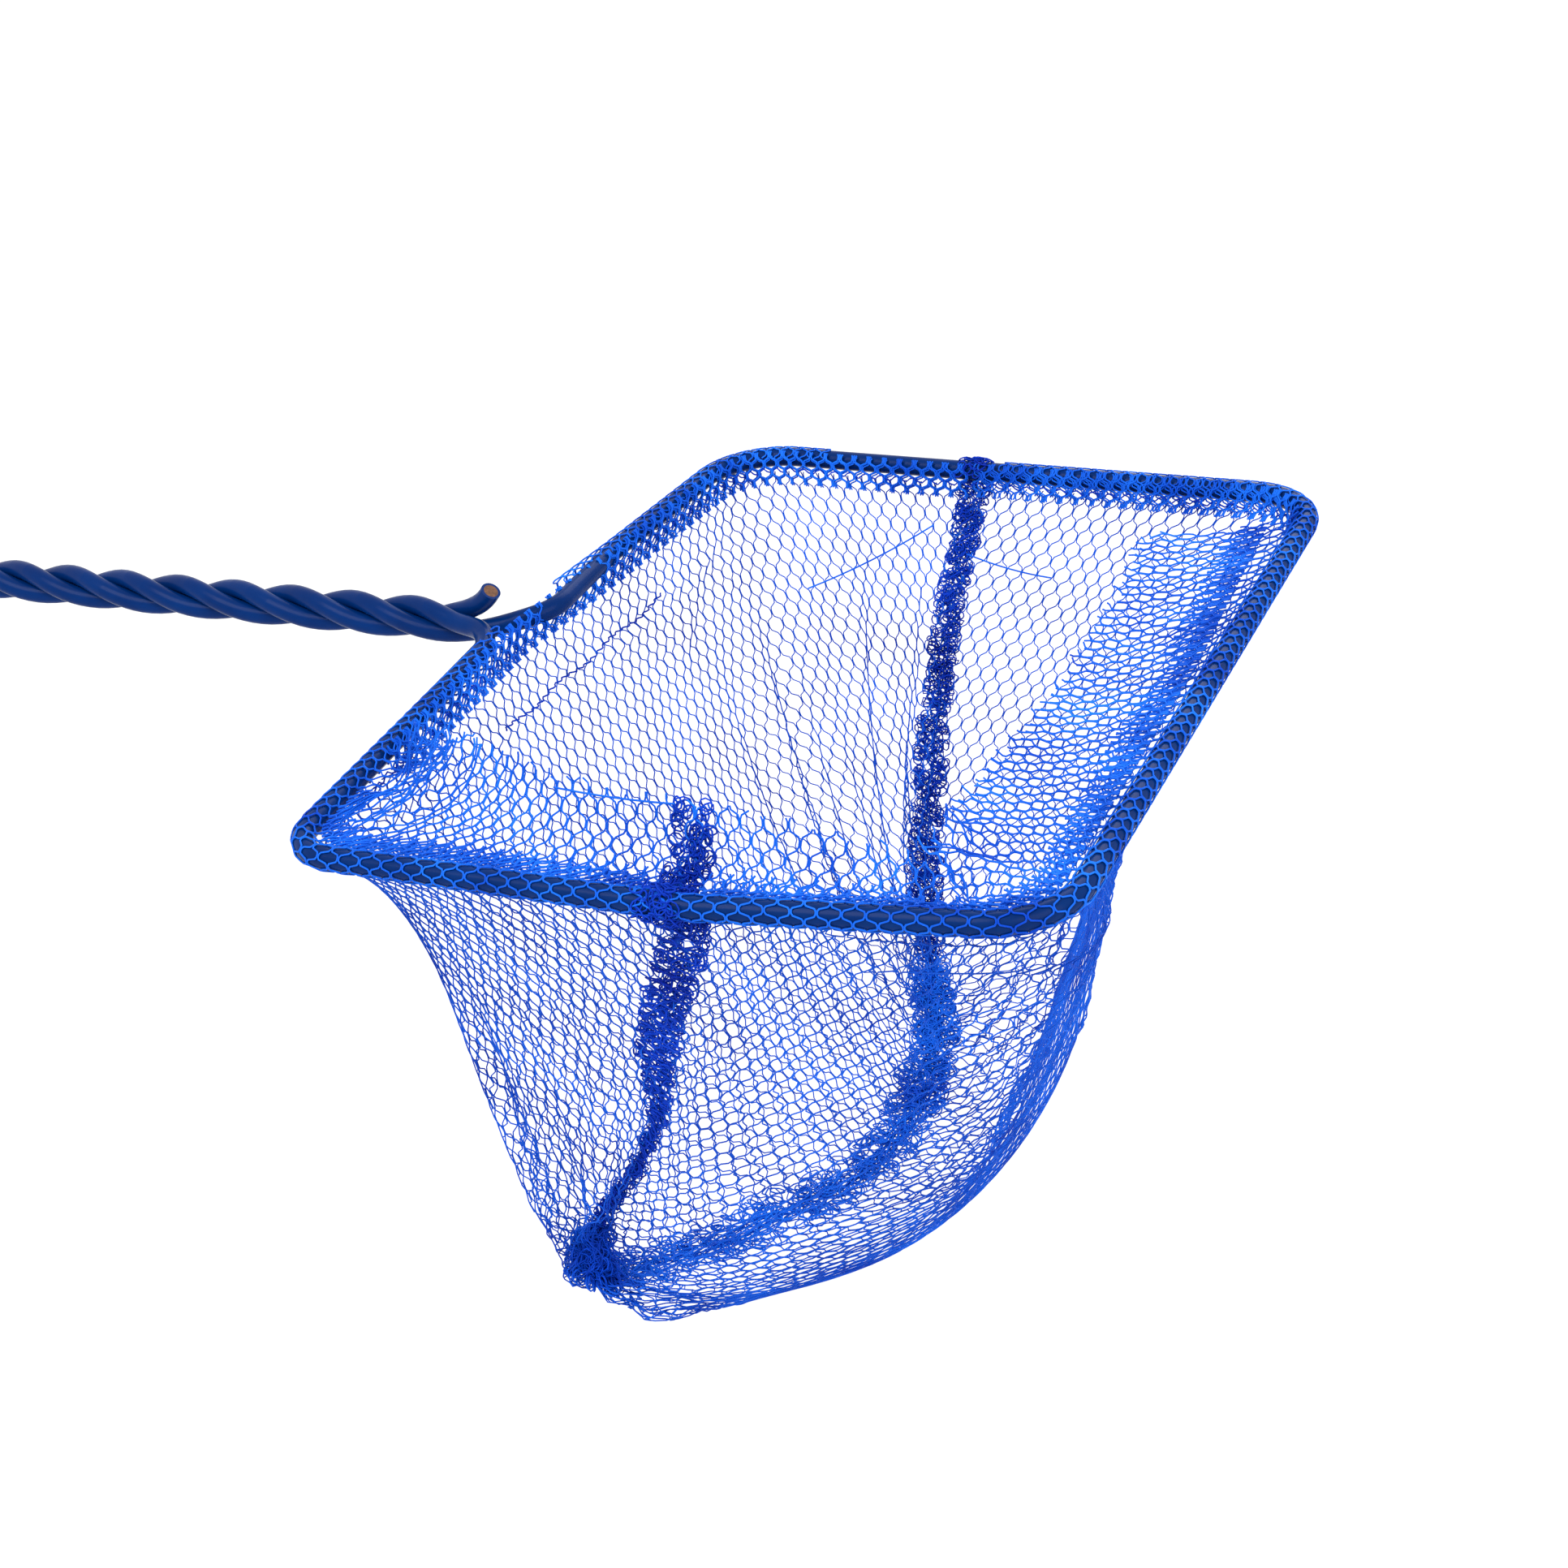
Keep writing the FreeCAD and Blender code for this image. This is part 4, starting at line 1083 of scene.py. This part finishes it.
# %% [markdown]
# The wire is dipped in plastic, a deeper blue, smooth and uneven where it ran. The unevenness is too shallow
# to be seen in the outline, so a faint bump is enough for it. Only the cut ends show the steel, which has
# rusted a little since it was cut.

# %% Coated wire and cut steel
coating_material, nodes, links, shader = new_material("dipped_blue_plastic")
patches = drifting_colour(nodes, links, shader, 140, 3, ((0.0003, 0.013, 0.085), (0.0006, 0.028, 0.155)))
ripple = nodes.new("ShaderNodeBump")
ripple.inputs["Strength"].default_value = 0.12
ripple.inputs["Distance"].default_value = 0.0004
links.new(patches.outputs["Fac"], ripple.inputs["Height"])
links.new(ripple.outputs["Normal"], shader.inputs["Normal"])
shader.inputs["Roughness"].default_value = 0.25
shader.inputs["Specular IOR Level"].default_value = FAINT_GLOSS

steel_material, nodes, links, shader = new_material("cut_steel")
drifting_colour(nodes, links, shader, 2500, 2, ((0.03, 0.012, 0.006), (0.22, 0.1, 0.05)))
shader.inputs["Metallic"].default_value = 0.7
shader.inputs["Roughness"].default_value = 0.5

wire_materials = {"_coating": coating_material, "_core": steel_material}
for name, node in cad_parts.items():
    for ending, material in wire_materials.items():
        if name.endswith(ending):
            node.data.materials.clear()
            node.data.materials.append(material)
            print(name, "in", material.name)

# %% [markdown]
# ## Floor and background
# The net is shown on white. Stronger lamps would make any floor white, but they'd bleach the net as well. So
# the floor and the world are brighter only for the rays that show them. The floor's glow is mixed with its
# plain grey, which keeps the net's soft shadow.

# %% Floor and world
FLOOR_SIZE = 4.0
FLOOR_HEIGHT = -0.1
FLOOR_GREY = 0.92
FLOOR_GLOW = 1.1
GLOW_SHARE = 0.8
WORLD_LIGHT = 0.7
WORLD_SEEN = 0.4  # what is added where the world is seen


def seen_rays(nodes, links):
    """1 for the rays that show a surface, straight to the camera or by way of a gloss or of glass."""
    rays = nodes.new("ShaderNodeLightPath")
    seen = rays.outputs["Is Camera Ray"]
    for kind in ("Is Glossy Ray", "Is Transmission Ray"):
        either = nodes.new("ShaderNodeMath")
        either.operation = "MAXIMUM"
        links.new(seen, either.inputs[0])
        links.new(rays.outputs[kind], either.inputs[1])
        seen = either.outputs["Value"]
    return seen


floor_mesh = bpy.data.meshes.new("floor")
floor = bpy.data.objects.new("floor", floor_mesh)
sheet = bmesh.new()
below = Matrix.Translation((0, 0, FLOOR_HEIGHT))
bmesh.ops.create_grid(sheet, x_segments=1, y_segments=1, size=FLOOR_SIZE, matrix=below)
sheet.to_mesh(floor_mesh)
sheet.free()
bpy.context.collection.objects.link(floor)
floor_material, nodes, links, shader = new_material("white_floor")
shader.inputs["Base Color"].default_value = (FLOOR_GREY, FLOOR_GREY, FLOOR_GREY, 1)
shader.inputs["Roughness"].default_value = 0.9
glow = nodes.new("ShaderNodeEmission")
glow.inputs["Strength"].default_value = FLOOR_GLOW
glow_share = nodes.new("ShaderNodeMath")
glow_share.operation = "MULTIPLY"
glow_share.inputs[1].default_value = GLOW_SHARE
mix = nodes.new("ShaderNodeMixShader")
links.new(seen_rays(nodes, links), glow_share.inputs[0])
links.new(glow_share.outputs["Value"], mix.inputs["Fac"])
links.new(shader.outputs["BSDF"], mix.inputs[1])
links.new(glow.outputs["Emission"], mix.inputs[2])
links.new(mix.outputs["Shader"], nodes["Material Output"].inputs["Surface"])
floor_mesh.materials.append(floor_material)

world = bpy.data.worlds.new("studio")
bpy.context.scene.world = world
world.use_nodes = True
nodes, links = world.node_tree.nodes, world.node_tree.links
level = nodes.new("ShaderNodeMath")
level.operation = "MULTIPLY_ADD"
level.inputs[1].default_value = WORLD_SEEN
level.inputs[2].default_value = WORLD_LIGHT
links.new(seen_rays(nodes, links), level.inputs[0])
links.new(level.outputs["Value"], nodes["Background"].inputs["Strength"])
nodes["Background"].inputs["Color"].default_value = (1, 1, 1, 1)
print("floor", 2 * FLOOR_SIZE, "m wide, world", world.name)

# %% [markdown]
# ## Lamps
# The photo has soft light without hard shadows. Three large area lamps stand round the net: the key over the
# near side, a fill at the front and one behind, all of them weaker than the world's even light.

# %% Lamps
LAMP_SIZE = 0.8
LAMPS = (  # name, place, the point that it faces, and its power
    ("key", (-0.1, -0.7, 1.1), (0.16, 0, -0.02), 12),
    ("fill", (1.0, -0.4, 0.5), (0.16, 0, -0.04), 5),
    ("back", (0.2, 1.0, 0.7), (0.16, 0, -0.02), 6),
)
for name, place, aim, power in LAMPS:
    lamp = bpy.data.lights.new(name, "AREA")
    lamp.size = LAMP_SIZE
    lamp.energy = power
    holder = bpy.data.objects.new(name, lamp)
    holder.location = place
    holder.rotation_euler = (Vector(aim) - Vector(place)).to_track_quat("-Z", "Y").to_euler()
    bpy.context.collection.objects.link(holder)
    print("lamp", name, power, "W")

# %% [markdown]
# ## Camera
# The camera stands where the photographer's stood. Its place, turn and focal length could be set by eye, but
# they were solved from the hoop's corners, with the hoop taken as flat.

# %% Camera
CAMERA_RIGHT = (0.9045, 0.4090, -0.1209)
CAMERA_DOWN = (0.1049, -0.4880, -0.8665)
CAMERA_AHEAD = (-0.4134, 0.7711, -0.4843)
CAMERA_PLACE = (193.2, -288.8, 159.5)
FOCAL_PIXELS = 3182.3
PHOTO_PIXELS = 1932
SENSOR_WIDTH = 36
camera = bpy.data.cameras.new("camera")
camera.sensor_width = SENSOR_WIDTH
camera.lens = SENSOR_WIDTH * FOCAL_PIXELS / PHOTO_PIXELS
camera_object = bpy.data.objects.new("camera", camera)
turn = np.array([CAMERA_RIGHT, -np.array(CAMERA_DOWN), -np.array(CAMERA_AHEAD)]).T
turn = Matrix(turn.tolist()).to_4x4()
turn.translation = in_frame(CAMERA_PLACE)
camera_object.matrix_world = turn
bpy.context.collection.objects.link(camera_object)
bpy.context.scene.camera = camera_object
bpy.context.scene.view_settings.view_transform = "Standard"
print("lens", round(camera.lens, 1), "mm")
